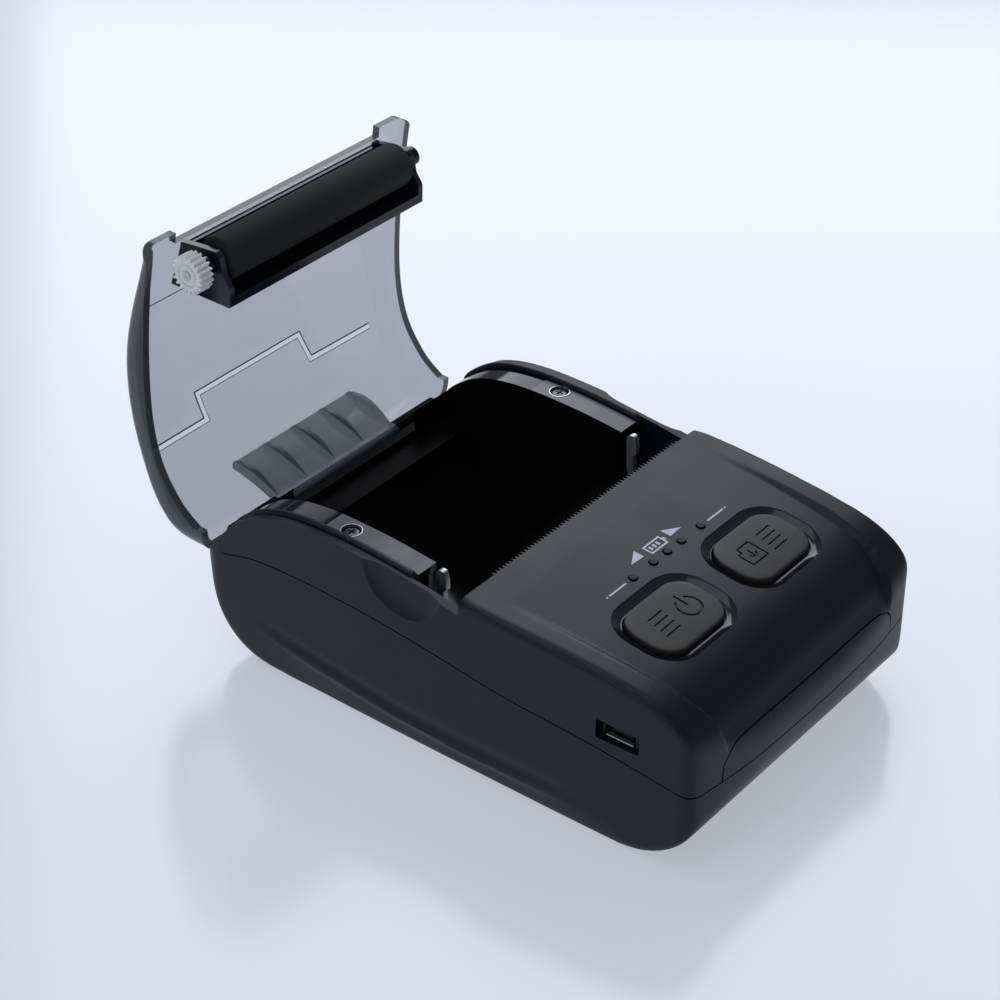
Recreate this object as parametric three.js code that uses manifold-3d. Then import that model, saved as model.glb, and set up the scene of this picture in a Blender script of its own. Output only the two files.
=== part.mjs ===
// A pocket receipt printer for 58 mm paper, with its smoked lid swung open.
// Millimetres, +X to the right as seen from the front, +Y to the rear, +Z up.
// The origin is on the surface that it stands on, below the tear edge, midway across.
import * as THREE from 'three';
import { mergeVertices } from 'three/addons/utils/BufferGeometryUtils.js';
import Module from 'manifold-3d';

const wasm = await Module();
wasm.setup();

// ---- driving dimensions -------------------------------------------------------------
const GAP = 0.3; // between pieces that touch
const FIT = 0.02; // radial play between a shaft and what turns with it
const HALF_WIDTH = 38.6; // of the case, at the seam
const BASE_TUCK = 2.4; // how much narrower each side is at the base
const FRONT = -53; // front face
const REAR = 66; // rear face of the lower shell
const BASE_FRONT = -35; // flat of the base
const BASE_REAR = 50;
const CROWN = 45.8; // top of the closed lid
const CROWN_Y = 32;
const DECK_REAR = 0.9; // tear edge
const DECK_Z = 39; // top of the deck at the tear edge
const EDGE = 5; // rounding of the long edges
const CORNER = 6.5; // plan radius of the four corners
const WALL = 2; // case walls
const LID_WALL = 1.7;

const PAPER = 58; // paper width
const BAY_HALF = PAPER / 2 + 0.2;
const ROLL_R = 20.5; // radius of the round bottom of the paper bay
const BAY_Y = 31.7;
const BAY_Z = 24;
const BIN_WALL = 1.2;
const LEDGE_DROP = 0.3; // ledges below the rim of the side walls
const LEDGE_T = 1.6;
const LEDGE_FRONT = 13.3; // front end of the ledges and of the rails beside them
const BOWL_LIP = 24.4; // top of the bay's front wall, below the closed platen bracket

const HINGE = { y: 64, z: 23.6 };
const LID_OPEN = THREE.MathUtils.degToRad(88);
const BARREL_R = 1.9;
const PIN_R = 0.8;
const KNUCKLE_END = 31; // outer end of the bay's hinge knuckles
const ARM_HALF = 18; // half the width of the lid's hinge arm
const ARM_T = 1.3;
const RIB = { count: 5, half: 0.6, depth: 1.9 };

const PLATEN = { y: 6.4, z: 30, r: 4.6, half: 25.9 }; // with the lid closed
const SHAFT_R = 1;
const BUSH_R = 2;
const BUSH_END = 30.9; // outer end of the bushes
const BRACKET_HALF = 28.3;
const CHEEK_T = 1.3;

const MODULE_MM = 0.36; // gear module
const MESH_GAP = 0.12; // added to each centre distance
const GEAR_X = -34.4; // outer face of the gears
const GEAR_W = 3.2;
const TEETH = { platen: 20, drive: 20, idler: 40, pinion: 12 };

const BUTTON = { x: 14.2, y: -30.3, w: 19.8, d: 13.2, r: 4.9, rise: 0.4 };
const BUTTON_GAP = 0.4;
const BEVEL_RING = 1.9; // width of the recess round each button
const BEVEL_DEPTH = 0.8;
const LAMP_X = [-10.9, -4.5, 0, 4.5, 10.9];
const LAMP_Y = -18.6;
const LAMP_R = 0.75;

const BOARD = { x: 29, front: -43, rear: -14.5, z: 26.2, t: 1.6 };
const USB = { y: -34.6, w: 7.6, h: 2.8, d: 5.6 };
const CELL = { y: -28.6, z: 11.6, r: 8.2, half: 30 };
const MOTOR = { r: 7, length: 15.7, shaft: 0.75 };
const FRAME_X = 28; // inner face of the print frame's cheeks
const FRAME_T = 1;

const SCREW = { r: 1, head: 2.1, headT: 1.8, length: 12, sink: 0.8 };
const SLEEVE_R = 3; // screw sleeves of the lower shell
const SLEEVE_TOP = 7;
const BOSS_R = 2.4; // screw bosses of the upper shell
const CASE_SCREWS = [[-33, -20.5], [33, -20.5], [-33, 51], [33, 51]];
const BIN_SCREW = { x: 32.4, y: 31.3, head: 1.6, headT: 1, length: 9, sink: 0.25, post: 1.7 };

// ---- finishes -----------------------------------------------------------------------
const finish = (color, roughness, metalness = 0, opacity = 1) => () => (
  new THREE.MeshStandardMaterial({ color, roughness, metalness, opacity, transparent: opacity < 1 })
);
const satinBlack = finish(0x25282d, 0.55);
const glossBlack = finish(0x0a0b0d, 0.15);
const smoked = finish(0x6f7a8c, 0.12, 0, 0.55);
const smokedDark = finish(0x39404d, 0.2, 0, 0.8);
const rubber = finish(0x16171a, 0.75);
const steel = finish(0xb8bbbf, 0.3, 1);
const nylon = finish(0xf0f1ef, 0.4);
const buttonGrey = finish(0x35332f, 0.45);
const boardGreen = finish(0x1d5c38, 0.5);
const ceramic = finish(0xe6e4dd, 0.35);
const aluminium = finish(0xa5a9ad, 0.35, 0.9);
const wrapBlue = finish(0x2a4f8f, 0.5);
const lampClear = finish(0xd8dce0, 0.2);
const brass = finish(0xc09a4a, 0.35, 1);

// ---- solids -------------------------------------------------------------------------
const vec = (x, y) => new THREE.Vector2(x, y);
const SIDES = [-1, 1];

// The span between two distances from the middle plane, on the left (-1) or the right (1).
const span = (side, a, b) => [Math.min(side * a, side * b), Math.max(side * a, side * b)];

function solid(geometry) {
  const bare = geometry.clone();
  bare.deleteAttribute('normal');
  bare.deleteAttribute('uv');
  const merged = mergeVertices(bare, 1e-4);
  return new wasm.Manifold(new wasm.Mesh({
    numProp: 3,
    vertProperties: new Float32Array(merged.attributes.position.array),
    triVerts: new Uint32Array(merged.index.array),
  }));
}

function geometryOf(body) {
  const { vertProperties, triVerts } = body.getMesh();
  const geometry = new THREE.BufferGeometry();
  geometry.setAttribute('position', new THREE.BufferAttribute(vertProperties, 3));
  geometry.setIndex(new THREE.BufferAttribute(triVerts, 1));
  geometry.computeVertexNormals();
  return geometry;
}

function piece(name, body, material) {
  const mesh = new THREE.Mesh(geometryOf(body), material());
  mesh.name = name;
  return mesh;
}

const joined = (bodies) => bodies.reduce((sum, body) => sum.add(body));

// Turns an extrusion so that it runs along X, with its outline in Y and Z.
const TO_X = new THREE.Matrix4().set(0, 0, 1, 0, 1, 0, 0, 0, 0, 1, 0, 0, 0, 0, 0, 1);
// The same along -Y, with its outline in X and Z.
const TO_Y = new THREE.Matrix4().set(1, 0, 0, 0, 0, 0, -1, 0, 0, 1, 0, 0, 0, 0, 0, 1);

function extrusion(outline, depth, options = {}) {
  const shape = outline instanceof THREE.Shape ? outline : new THREE.Shape(outline.map((p) => vec(...p)));
  return new THREE.ExtrudeGeometry(shape, { depth, bevelEnabled: false, curveSegments: 6, ...options });
}

function prismX(outline, x0, x1) {
  return solid(extrusion(outline, x1 - x0).applyMatrix4(TO_X).translate(x0, 0, 0));
}

function prismY(outline, y0, y1) {
  return solid(extrusion(outline, y1 - y0).applyMatrix4(TO_Y).translate(0, y1, 0));
}

function prismZ(outline, z0, z1) {
  return solid(extrusion(outline, z1 - z0).translate(0, 0, z0));
}

function box([x0, y0, z0], [x1, y1, z1]) {
  const geometry = new THREE.BoxGeometry(x1 - x0, y1 - y0, z1 - z0);
  return solid(geometry.translate((x0 + x1) / 2, (y0 + y1) / 2, (z0 + z1) / 2));
}

function cylinderX(r, x0, x1, y, z, sides = 20) {
  const geometry = new THREE.CylinderGeometry(r, r, x1 - x0, sides);
  return solid(geometry.rotateZ(Math.PI / 2).translate((x0 + x1) / 2, y, z));
}

function cylinderZ(r, z0, z1, x, y, sides = 16) {
  const geometry = new THREE.CylinderGeometry(r, r, z1 - z0, sides);
  return solid(geometry.rotateX(Math.PI / 2).translate(x, y, (z0 + z1) / 2));
}


function roundedRectangle(width, depth, radius) {
  const [w, d] = [width / 2, depth / 2];
  const shape = new THREE.Shape();
  shape.absarc(w - radius, d - radius, radius, 0, Math.PI / 2);
  shape.absarc(radius - w, d - radius, radius, Math.PI / 2, Math.PI);
  shape.absarc(radius - w, radius - d, radius, Math.PI, Math.PI * 1.5);
  shape.absarc(w - radius, radius - d, radius, Math.PI * 1.5, Math.PI * 2);
  return shape;
}

// Moves every side of a closed outline inwards; the outline runs anticlockwise.
function insetOutline(points, inset) {
  return points.map((point, i) => {
    const before = points[(i + points.length - 1) % points.length];
    const after = points[(i + 1) % points.length];
    const a = point.clone().sub(before).normalize();
    const b = after.clone().sub(point).normalize();
    const normal = vec(-a.y - b.y, a.x + b.x).normalize();
    return point.clone().addScaledVector(normal, inset / Math.max(0.5, normal.dot(vec(-a.y, a.x))));
  });
}

const tuples = (points) => points.map((p) => [p.x, p.y]);

// ---- the outer form of the closed case ----------------------------------------------
// The side view of the case, in Y and Z.
function sideOutline(divisions = 6) {
  const path = new THREE.Path();
  path.moveTo(BASE_FRONT, 0);
  path.lineTo(BASE_REAR, 0);
  path.bezierCurveTo(BASE_REAR + 9, 0.2, REAR - 1, 7, REAR, 17);
  path.lineTo(REAR + 1.4, 26);
  path.bezierCurveTo(REAR + 1.2, 34, REAR - 3.5, 38.5, REAR - 11, 41.4);
  path.bezierCurveTo(REAR - 19, CROWN - 1.6, CROWN_Y + 9, CROWN, CROWN_Y, CROWN);
  path.bezierCurveTo(CROWN_Y - 10, CROWN, 12, CROWN - 4.3, 4.5, DECK_Z + 0.4);
  path.lineTo(DECK_REAR, DECK_Z);
  path.bezierCurveTo(-15, DECK_Z - 0.6, -28, DECK_Z - 1.4, -38, DECK_Z - 3.1);
  path.bezierCurveTo(-46.5, DECK_Z - 4.8, FRONT + 1, DECK_Z - 8.5, FRONT, 20);
  path.bezierCurveTo(FRONT, 9, -46, 0.4, BASE_FRONT, 0);
  const points = path.getPoints(divisions);
  points.pop();
  return points;
}

// The plan view, in X and Y: a bowed front and rounded corners.
function planOutline() {
  const w = HALF_WIDTH;
  const bow = 1.6;
  const rear = REAR + 1.4;
  const path = new THREE.Path();
  path.moveTo(0, FRONT);
  path.bezierCurveTo(16, FRONT, 28, FRONT + bow, 31.5, FRONT + bow + 0.6);
  path.bezierCurveTo(35, FRONT + bow + 1.5, w - 1.7, FRONT + 6, w - 1.5, FRONT + 10);
  path.lineTo(w, -8);
  path.lineTo(w, rear - CORNER);
  path.absarc(w - CORNER, rear - CORNER, CORNER, 0, Math.PI / 2);
  const right = path.getPoints(6);
  const left = right.slice(1).reverse().map((p) => vec(-p.x, p.y));
  return [...right, ...left];
}

// The cross-section, in X and Z: upright sides that tuck in towards the base.
function crossOutline(inset) {
  const half = [
    [HALF_WIDTH - BASE_TUCK, -1],
    [HALF_WIDTH - BASE_TUCK / 2.6, 7],
    [HALF_WIDTH, 20],
    [HALF_WIDTH - 0.1, 32],
    [HALF_WIDTH - 0.6, CROWN + 1],
  ].map(([x, z]) => [x - inset, z]);
  return [...half, ...half.slice().reverse().map(([x, z]) => [-x, z])];
}

// The case as one solid, with every face moved in by the given distance.
const cases = new Map();
function caseSolid(inset) {
  if (!cases.has(inset)) {
    const edge = Math.max(1.2, EDGE - inset);
    const half = HALF_WIDTH - inset;
    const outline = tuples(insetOutline(sideOutline(), inset));
    const slab = solid(extrusion(outline, 2 * (half - edge), {
      bevelEnabled: true, bevelThickness: edge, bevelSize: edge, bevelOffset: -edge, bevelSegments: 3,
    }).applyMatrix4(TO_X).translate(edge - half, 0, 0));
    const plan = prismZ(tuples(insetOutline(planOutline(), inset)), -1, CROWN + 2);
    const cross = prismY(crossOutline(inset), FRONT - 2, REAR + 4);
    cases.set(inset, slab.intersect(plan).intersect(cross));
  }
  return cases.get(inset);
}

// The line where the two shells meet, in Y and Z, from the front to the rear.
const seamLine = () => new THREE.SplineCurve([
  vec(FRONT - 3, 17.2), vec(FRONT + 3, 17.6), vec(-30, 20.4), vec(-10, 22.3), vec(8, 24.6),
  vec(24, 26.2), vec(40, 26.8), vec(52, 26.2), vec(61, 24.2), vec(REAR + 4, 23.9),
]).getPoints(30);

// The rim of the side walls, on which the closed lid lands.
const rimLine = () => new THREE.SplineCurve([
  vec(DECK_REAR - 1, 35.7), vec(12, 37.5), vec(26, 38.8), vec(40, 38.8), vec(50, 36.7),
  vec(57, 32.2), vec(60.6, 27.5), vec(61.6, 24.3), vec(62.2, 20),
]).getPoints(32);

function areaAbove(line, lift) {
  const points = line.map((p) => [p.x, p.y + lift]);
  return [...points, [points.at(-1)[0], 90], [points[0][0], 90]];
}

function areaBelow(line, lift) {
  const points = line.map((p) => [p.x, p.y + lift]).reverse();
  return [...points, [points.at(-1)[0], -20], [points[0][0], -20]];
}

function band(line, low, high) {
  return [...line.map((p) => [p.x, p.y + low]), ...line.map((p) => [p.x, p.y + high]).reverse()];
}

const WIDE = HALF_WIDTH + 5;
const slab = (outline) => prismX(outline, -WIDE, WIDE);

// Height at a given Y of a line whose points run from the front to the rear.
function heightAt(line, y) {
  const next = Math.max(1, line.findIndex((p) => p.x >= y));
  const [a, b] = [line[next - 1], line[next]];
  return THREE.MathUtils.mapLinear(y, a.x, b.x, a.y, b.y);
}

const deckLine = () => sideOutline(24).filter((p) => p.y > 30 && p.x < DECK_REAR + 0.1).reverse();
const deckZ = (y) => heightAt(deckLine(), y);
const seamZ = (y) => heightAt(seamLine(), y);
const ledgeZ = () => heightAt(rimLine(), BIN_SCREW.y) - LEDGE_DROP;

// ---- the shells ---------------------------------------------------------------------
const DOOR = { x: 31, front: CELL.y - CELL.r - 0.6, rear: CELL.y + CELL.r + 0.6 };

function bottomShell() {
  const tub = caseSolid(0).intersect(slab(areaBelow(seamLine(), -GAP / 2))).subtract(caseSolid(WALL));
  const sleeves = CASE_SCREWS.map(([x, y]) => cylinderZ(SLEEVE_R, 0.5, SLEEVE_TOP, x, y));
  const postTop = ledgeZ() - LEDGE_T - GAP;
  const posts = SIDES.map((side) => cylinderZ(BIN_SCREW.post, 1, postTop, side * BIN_SCREW.x, BIN_SCREW.y));
  const rearNotch = box([-31.6, HINGE.y - 4, HINGE.z - BARREL_R - 0.5], [31.6, REAR + 4, 40]);
  const lidSweep = cylinderX(4.2, -WIDE, WIDE, HINGE.y, HINGE.z, 32)
    .intersect(box([-WIDE, REAR - 0.5, 0], [WIDE, REAR + 6, 60]));
  let shell = joined([tub, ...sleeves.map((s) => s.intersect(caseSolid(0))), ...posts]);
  shell = shell.subtract(rearNotch).subtract(lidSweep).subtract(usbCut());
  for (const [x, y] of CASE_SCREWS) {
    shell = shell.subtract(cylinderZ(SCREW.head + GAP, -1, SCREW.sink + SCREW.headT + GAP, x, y));
    shell = shell.subtract(cylinderZ(SCREW.r + GAP, -1, SLEEVE_TOP + 2, x, y));
  }
  for (const side of SIDES) {
    shell = shell.subtract(cylinderZ(SCREW.r + GAP, 24, 40, side * BIN_SCREW.x, BIN_SCREW.y));
  }
  return shell.subtract(doorBlock(0));
}

function doorBlock(inset) {
  return box([inset - DOOR.x, DOOR.front + inset, -1], [DOOR.x - inset, DOOR.rear - inset, 5]);
}

function batteryDoor() {
  const plate = caseSolid(0).subtract(caseSolid(WALL)).intersect(doorBlock(GAP));
  const grip = [2.5, 4.1, 5.7].map((y) => box([-8, DOOR.front + y, -1], [8, DOOR.front + y + 0.8, 0.5]));
  return grip.reduce((door, groove) => door.subtract(groove), plate);
}

const usbZ = () => BOARD.z - USB.h / 2 - 0.05;

function usbCut() {
  const [half, z] = [USB.w / 2 + 0.8, usbZ()];
  return box([-WIDE, USB.y - half, z - 2.1], [2 - HALF_WIDTH + WALL, USB.y + half, z + 2.1]);
}

function buttonPrism(side, grow, z0, z1) {
  const outline = roundedRectangle(BUTTON.w + 2 * grow, BUTTON.d + 2 * grow, BUTTON.r + grow);
  return prismZ(outline, z0, z1).translate([side * BUTTON.x, BUTTON.y, 0]);
}

function tearTeeth() {
  const [left, right] = [-27.5, 31.3];
  const count = 46;
  const pitch = (right - left) / count;
  const points = [[right, DECK_REAR - 1], [right, DECK_REAR]];
  for (let i = 0; i < count; i += 1) {
    points.push([right - (i + 0.5) * pitch, DECK_REAR + 0.8], [right - (i + 1) * pitch, DECK_REAR]);
  }
  return prismZ([...points, [left, DECK_REAR - 1]].reverse(), DECK_Z - 1.3, DECK_Z - 0.1);
}

function upperShell() {
  const outside = caseSolid(0).intersect(slab(areaAbove(seamLine(), GAP / 2)));
  const behindDeck = box([-WIDE, DECK_REAR, 0], [WIDE, 90, 90]);
  const cut = behindDeck.intersect(slab(areaAbove(rimLine(), 0)));
  const pastArch = box([-WIDE, HINGE.y - 3.3, 0], [WIDE, 90, 90]);
  let shell = outside.subtract(caseSolid(WALL)).subtract(cut).subtract(pastArch);
  const railSpan = box([-WIDE, LEDGE_FRONT, 20], [WIDE, 60.5, 60]).subtract(box([-34, 0, 0], [34, 90, 90]));
  const railTop = caseSolid(2.1).subtract(caseSolid(3.5)).intersect(slab(band(rimLine(), -2.5, 1.5)));
  const railRoot = caseSolid(1).subtract(caseSolid(3.5)).intersect(slab(band(rimLine(), -2.8, -0.4)));
  shell = shell.add(railTop.add(railRoot).intersect(railSpan).intersect(slab(areaAbove(seamLine(), GAP))));
  const bosses = CASE_SCREWS.map(([x, y]) => {
    const top = y > 0 ? seamZ(y) + 2.6 : deckZ(y) - WALL + 0.5;
    const boss = cylinderZ(BOSS_R, SLEEVE_TOP + GAP, top, x, y);
    const webEnd = Math.sign(x) * (HALF_WIDTH - 1.2);
    const web = box([Math.min(x, webEnd), y - 0.6, seamZ(y) + 2 * GAP], [Math.max(x, webEnd), y + 0.6, top]);
    return boss.add(web).subtract(cylinderZ(SCREW.r + GAP, 0, 16, x, y));
  });
  shell = joined([shell, ...bosses, tearTeeth()]);
  for (const side of SIDES) {
    shell = shell.subtract(buttonPrism(side, BUTTON_GAP, 20, 60));
    shell = shell.subtract(buttonPrism(side, BEVEL_RING, 20, 60).subtract(caseSolid(BEVEL_DEPTH)));
  }
  for (const x of LAMP_X) shell = shell.subtract(cylinderZ(LAMP_R + 0.25, 30, 50, x, LAMP_Y, 12));
  return shell.subtract(usbCut());
}

// ---- the paper bay ------------------------------------------------------------------
function paperBin() {
  const side = BAY_HALF + BIN_WALL;
  const outerBowl = cylinderX(ROLL_R + BIN_WALL, -side, side, BAY_Y, BAY_Z, 40)
    .intersect(box([-WIDE, 0, 0], [WIDE, 90, BAY_Z + 1.8]))
    .subtract(box([-WIDE, 0, BOWL_LIP], [WIDE, BAY_Y, 90]));
  const cheeks = caseSolid(3.9).intersect(slab(areaBelow(rimLine(), -LEDGE_DROP - LEDGE_T / 2)))
    .intersect(box([-side, BAY_Y - 17.5, BAY_Z], [side, HINGE.y - 4.9, 60]));
  const ledges = caseSolid(3.9).intersect(slab(band(rimLine(), -LEDGE_DROP - LEDGE_T, -LEDGE_DROP)))
    .intersect(box([-WIDE, LEDGE_FRONT, 20], [WIDE, HINGE.y - 4.4, 60]));
  const inside = cylinderX(ROLL_R, -BAY_HALF, BAY_HALF, BAY_Y, BAY_Z, 40);
  const above = box([-BAY_HALF, BAY_Y - ROLL_R, BAY_Z], [BAY_HALF, HINGE.y - 5.4, 60]);
  const shelf = box([-side, BAY_Y + ROLL_R - 0.4, BAY_Z - 1.4], [side, HINGE.y - 1, BAY_Z + 0.4]);
  const knuckle = (s) => span(s, ARM_HALF + GAP, KNUCKLE_END);
  const knuckles = SIDES.map((s) => cylinderX(BARREL_R, ...knuckle(s), HINGE.y, HINGE.z));
  const barrelRoom = cylinderX(BARREL_R + 0.4, -ARM_HALF - GAP, ARM_HALF + GAP, HINGE.y, HINGE.z);
  const frontCorners = SIDES.map((s) => {
    const [x0, x1] = span(s, BAY_HALF - 0.4, WIDE);
    return box([x0, 0, 14], [x1, 14, 35]);
  });
  const armRoom = box([-ARM_HALF - 1, HINGE.y - 8, BAY_Z + 1.6], [ARM_HALF + 1, 90, 90]);
  let bin = joined([outerBowl, cheeks, ledges, shelf]).subtract(inside).subtract(above).subtract(armRoom);
  for (const corner of frontCorners) bin = bin.subtract(corner);
  bin = joined([bin, ...knuckles]).subtract(barrelRoom);
  bin = bin.subtract(cylinderX(PIN_R + GAP, -WIDE, WIDE, HINGE.y, HINGE.z, 16));
  const pocket = ledgeZ() - BIN_SCREW.sink - BIN_SCREW.headT;
  for (const s of SIDES) {
    bin = bin.subtract(cylinderZ(BIN_SCREW.head + GAP, pocket - GAP / 3, 60, s * BIN_SCREW.x, BIN_SCREW.y));
    bin = bin.subtract(cylinderZ(SCREW.r + GAP, 30, 60, s * BIN_SCREW.x, BIN_SCREW.y));
  }
  return bin;
}

// A cross-recess screw with its head's outer face at the given height; up is 1 or -1.
function screw({ head, headT, length }, x, y, face, up) {
  const cylinder = (r, near, far) => cylinderZ(r, Math.min(near, far), Math.max(near, far), x, y, 16);
  const shank = cylinder(SCREW.r, face - up * 0.5, face - up * length);
  const cross = [[1.1, 0.25], [0.25, 1.1]].map(([a, b]) => (
    box([-a, -b, -0.5], [a, b, 0.5]).translate([x, y, face])
  ));
  const blank = shank.add(cylinder(head, face, face - up * headT));
  return cross.reduce((body, slot) => body.subtract(slot), blank);
}

// ---- the lid, drawn closed ----------------------------------------------------------
function lidShell() {
  const skin = caseSolid(0).subtract(caseSolid(LID_WALL));
  const tabs = box([-WIDE, DECK_REAR + 1.2, 0], [WIDE, 90, 90])
    .subtract(box([-29.4, 0, 0], [29.4, 4.4, 90]));
  const rear = box([-WIDE, HINGE.y - 3, HINGE.z + 1.8], [WIDE, 90, 90]);
  const aboveRim = slab(areaAbove(rimLine(), GAP)).add(rear);
  return skin.intersect(tabs).intersect(aboveRim)
    .subtract(box([-WIDE, HINGE.y - 3, 0], [WIDE, 90, HINGE.z + 1.8]));
}

// A ribbed arm from the hinge barrel to the rear of the lid.
function hingeArm() {
  const [y0, z0] = [HINGE.y - 1.2, HINGE.z + 0.8];
  const [y1, z1] = [REAR - 6.6, 36.1];
  const face = new THREE.QuadraticBezierCurve(vec(y0, z0), vec(y0 - 2.6, z0 + 6), vec(y1, z1)).getPoints(8);
  const front = face.map((p) => [p.x, p.y]);
  const back = face.map((p) => [p.x + ARM_T, p.y]).reverse();
  const plate = prismX([...front, ...back].reverse(), -ARM_HALF, ARM_HALF);
  const barrel = cylinderX(BARREL_R, -ARM_HALF, ARM_HALF, HINGE.y, HINGE.z);
  const swell = (k) => RIB.depth * Math.sin((Math.PI * (k + 0.6)) / (face.length + 0.2));
  const edge = face.map((p, k) => [p.x - swell(k), p.y]);
  const ribs = Array.from({ length: RIB.count }, (_, i) => {
    const x = THREE.MathUtils.mapLinear(i, 0, RIB.count - 1, RIB.half - ARM_HALF, ARM_HALF - RIB.half);
    return prismX([...edge, ...back].reverse(), x - RIB.half, x + RIB.half);
  });
  return joined([plate, barrel, ...ribs])
    .subtract(cylinderX(PIN_R + GAP, -WIDE, WIDE, HINGE.y, HINGE.z, 16));
}

function platenBracket() {
  const top = caseSolid(LID_WALL + GAP).subtract(caseSolid(LID_WALL + GAP + 1.2))
    .intersect(box([-BRACKET_HALF, 5, 30], [BRACKET_HALF, 14.6, 60]));
  const wall = prismX([[13.1, 25], [14.3, 25], [14.6, 39.5], [13.3, 39.5]], -BRACKET_HALF, BRACKET_HALF);
  const cheekOutline = [[10.4, 25], [14.3, 25], [14.6, 42], [5, 42], [3.9, 34], [3.4, 29], [5, 27.2], [8, 26.6]];
  const cheeks = SIDES.map((s) => prismX(cheekOutline, ...span(s, BRACKET_HALF - CHEEK_T, BRACKET_HALF)));
  const inLid = caseSolid(LID_WALL + GAP);
  return joined([top, wall.intersect(inLid), ...cheeks.map((c) => c.intersect(inLid))])
    .subtract(cylinderX(SHAFT_R + GAP, -WIDE, WIDE, PLATEN.y, PLATEN.z));
}

function platenRoller() {
  return cylinderX(PLATEN.r, -PLATEN.half, PLATEN.half, PLATEN.y, PLATEN.z, 32)
    .subtract(cylinderX(SHAFT_R + FIT, -WIDE, WIDE, PLATEN.y, PLATEN.z));
}

const bush = (side) => cylinderX(BUSH_R, ...span(side, BRACKET_HALF + GAP, BUSH_END), PLATEN.y, PLATEN.z)
  .subtract(cylinderX(SHAFT_R + GAP, -WIDE, WIDE, PLATEN.y, PLATEN.z));

// ---- gears --------------------------------------------------------------------------
const pitchR = (teeth) => (teeth * MODULE_MM) / 2;

// A spur gear on the X axis with a tooth at the given angle in Y and Z.
function gear(teeth, boreR, angle) {
  const pitch = (2 * Math.PI) / teeth;
  const [root, tip] = [pitchR(teeth) - 1.27 * MODULE_MM, pitchR(teeth) + 0.91 * MODULE_MM];
  const points = [];
  for (let i = 0; i < teeth; i += 1) {
    const at = angle + i * pitch;
    for (const [r, share] of [[root, -0.3], [tip, -0.13], [tip, 0.13], [root, 0.3]]) {
      points.push([r * Math.cos(at + share * pitch), r * Math.sin(at + share * pitch)]);
    }
  }
  return prismX(points, 0, GEAR_W).subtract(cylinderX(boreR, -1, GEAR_W + 1, 0, 0, 16));
}

// Places the next gear of the train at its centre distance, in the given direction.
function meshed(from, fromTeeth, teeth, direction) {
  const distance = pitchR(fromTeeth) + pitchR(teeth) + MESH_GAP;
  return { y: from.y + distance * Math.cos(direction), z: from.z + distance * Math.sin(direction), teeth };
}

const turned = (degrees) => THREE.MathUtils.degToRad(degrees);
const DRIVE_AT = turned(263.6);
const IDLER_AT = turned(206);
const PINION_AT = turned(180);
const DRIVE = meshed(PLATEN, TEETH.platen, TEETH.drive, DRIVE_AT);
const IDLER = meshed(DRIVE, TEETH.drive, TEETH.idler, IDLER_AT);
const PINION = meshed(IDLER, TEETH.idler, TEETH.pinion, PINION_AT);

// The angle of a tooth of the next gear that puts its gaps over the teeth of this one.
function nextTooth(tooth, teeth, nextTeeth, direction) {
  const offset = ((direction - tooth) / (2 * Math.PI)) * teeth;
  return direction + Math.PI + ((offset - 0.5) * 2 * Math.PI) / nextTeeth;
}

const platenTooth = DRIVE_AT;
const driveTooth = nextTooth(platenTooth, TEETH.platen, TEETH.drive, DRIVE_AT);
const idlerTooth = nextTooth(driveTooth, TEETH.drive, TEETH.idler, IDLER_AT);
const pinionTooth = nextTooth(idlerTooth, TEETH.idler, TEETH.pinion, PINION_AT);

function gearPiece(name, centre, teeth, boreR, tooth, material) {
  const mesh = piece(name, gear(teeth, boreR, tooth), material);
  mesh.position.set(GEAR_X, centre.y, centre.z);
  return mesh;
}

// ---- the print mechanism ------------------------------------------------------------
const HEAD_AT = turned(215); // where the head meets the roller
const HEAD_PIVOT = { y: 4.9, z: 18.6, r: 0.9 };
const FRAME_LOW = 10.5;

function inHeadPlane(u, n) {
  const contact = [PLATEN.y + PLATEN.r * Math.cos(HEAD_AT), PLATEN.z + PLATEN.r * Math.sin(HEAD_AT)];
  const out = [Math.cos(HEAD_AT), Math.sin(HEAD_AT)];
  return [contact[0] + n * out[0] + u * out[1], contact[1] + n * out[1] - u * out[0]];
}

const headBlock = (u0, u1, n0, n1, half) => prismX(
  [inHeadPlane(u0, n0), inHeadPlane(u1, n0), inHeadPlane(u1, n1), inHeadPlane(u0, n1)], -half, half,
);

const AXLE_R = 1;
const LATCH = { x0: 29.5, x1: 30.7, y: 8.3, z: 17.6, top: 37.2, ear: 1.9 };

function headFrame() {
  const outline = [[-20, FRAME_LOW], [9, FRAME_LOW], [9, 24.4], [-2, 24.4], [-8, 24.2], [-20, 24.2]];
  const cheeks = SIDES.map((s) => prismX(outline, ...span(s, FRAME_X, FRAME_X + FRAME_T)));
  const floor = box([-FRAME_X - 0.5, -5.5, FRAME_LOW], [FRAME_X + 0.5, 9, FRAME_LOW + 1.2]);
  const back = box([-FRAME_X - 0.5, -5.5, FRAME_LOW], [FRAME_X + 0.5, -4.3, 22.5]);
  const tab = box([FRAME_X + 0.2, 2.4, 20], [32.4, 4.6, 21.2]).add(box([31.3, 2.4, 20], [32.4, 4.6, 35]));
  const axles = [DRIVE, IDLER].map((at) => cylinderX(AXLE_R, GEAR_X, -FRAME_X, at.y, at.z, 16));
  const pivots = SIDES.map((s) => cylinderX(AXLE_R, ...span(s, FRAME_X, LATCH.x1 + 0.2), LATCH.y, LATCH.z, 16));
  const plates = (s) => span(s, FRAME_X, FRAME_X + FRAME_T);
  const ears = SIDES.map((s) => cylinderX(LATCH.ear, ...plates(s), LATCH.y, LATCH.z, 16));
  return joined([...cheeks, floor, back, tab, ...axles, ...ears, ...pivots])
    .subtract(cylinderX(2.6, -WIDE, 1 - FRAME_X, PINION.y, PINION.z, 16));
}

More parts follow.
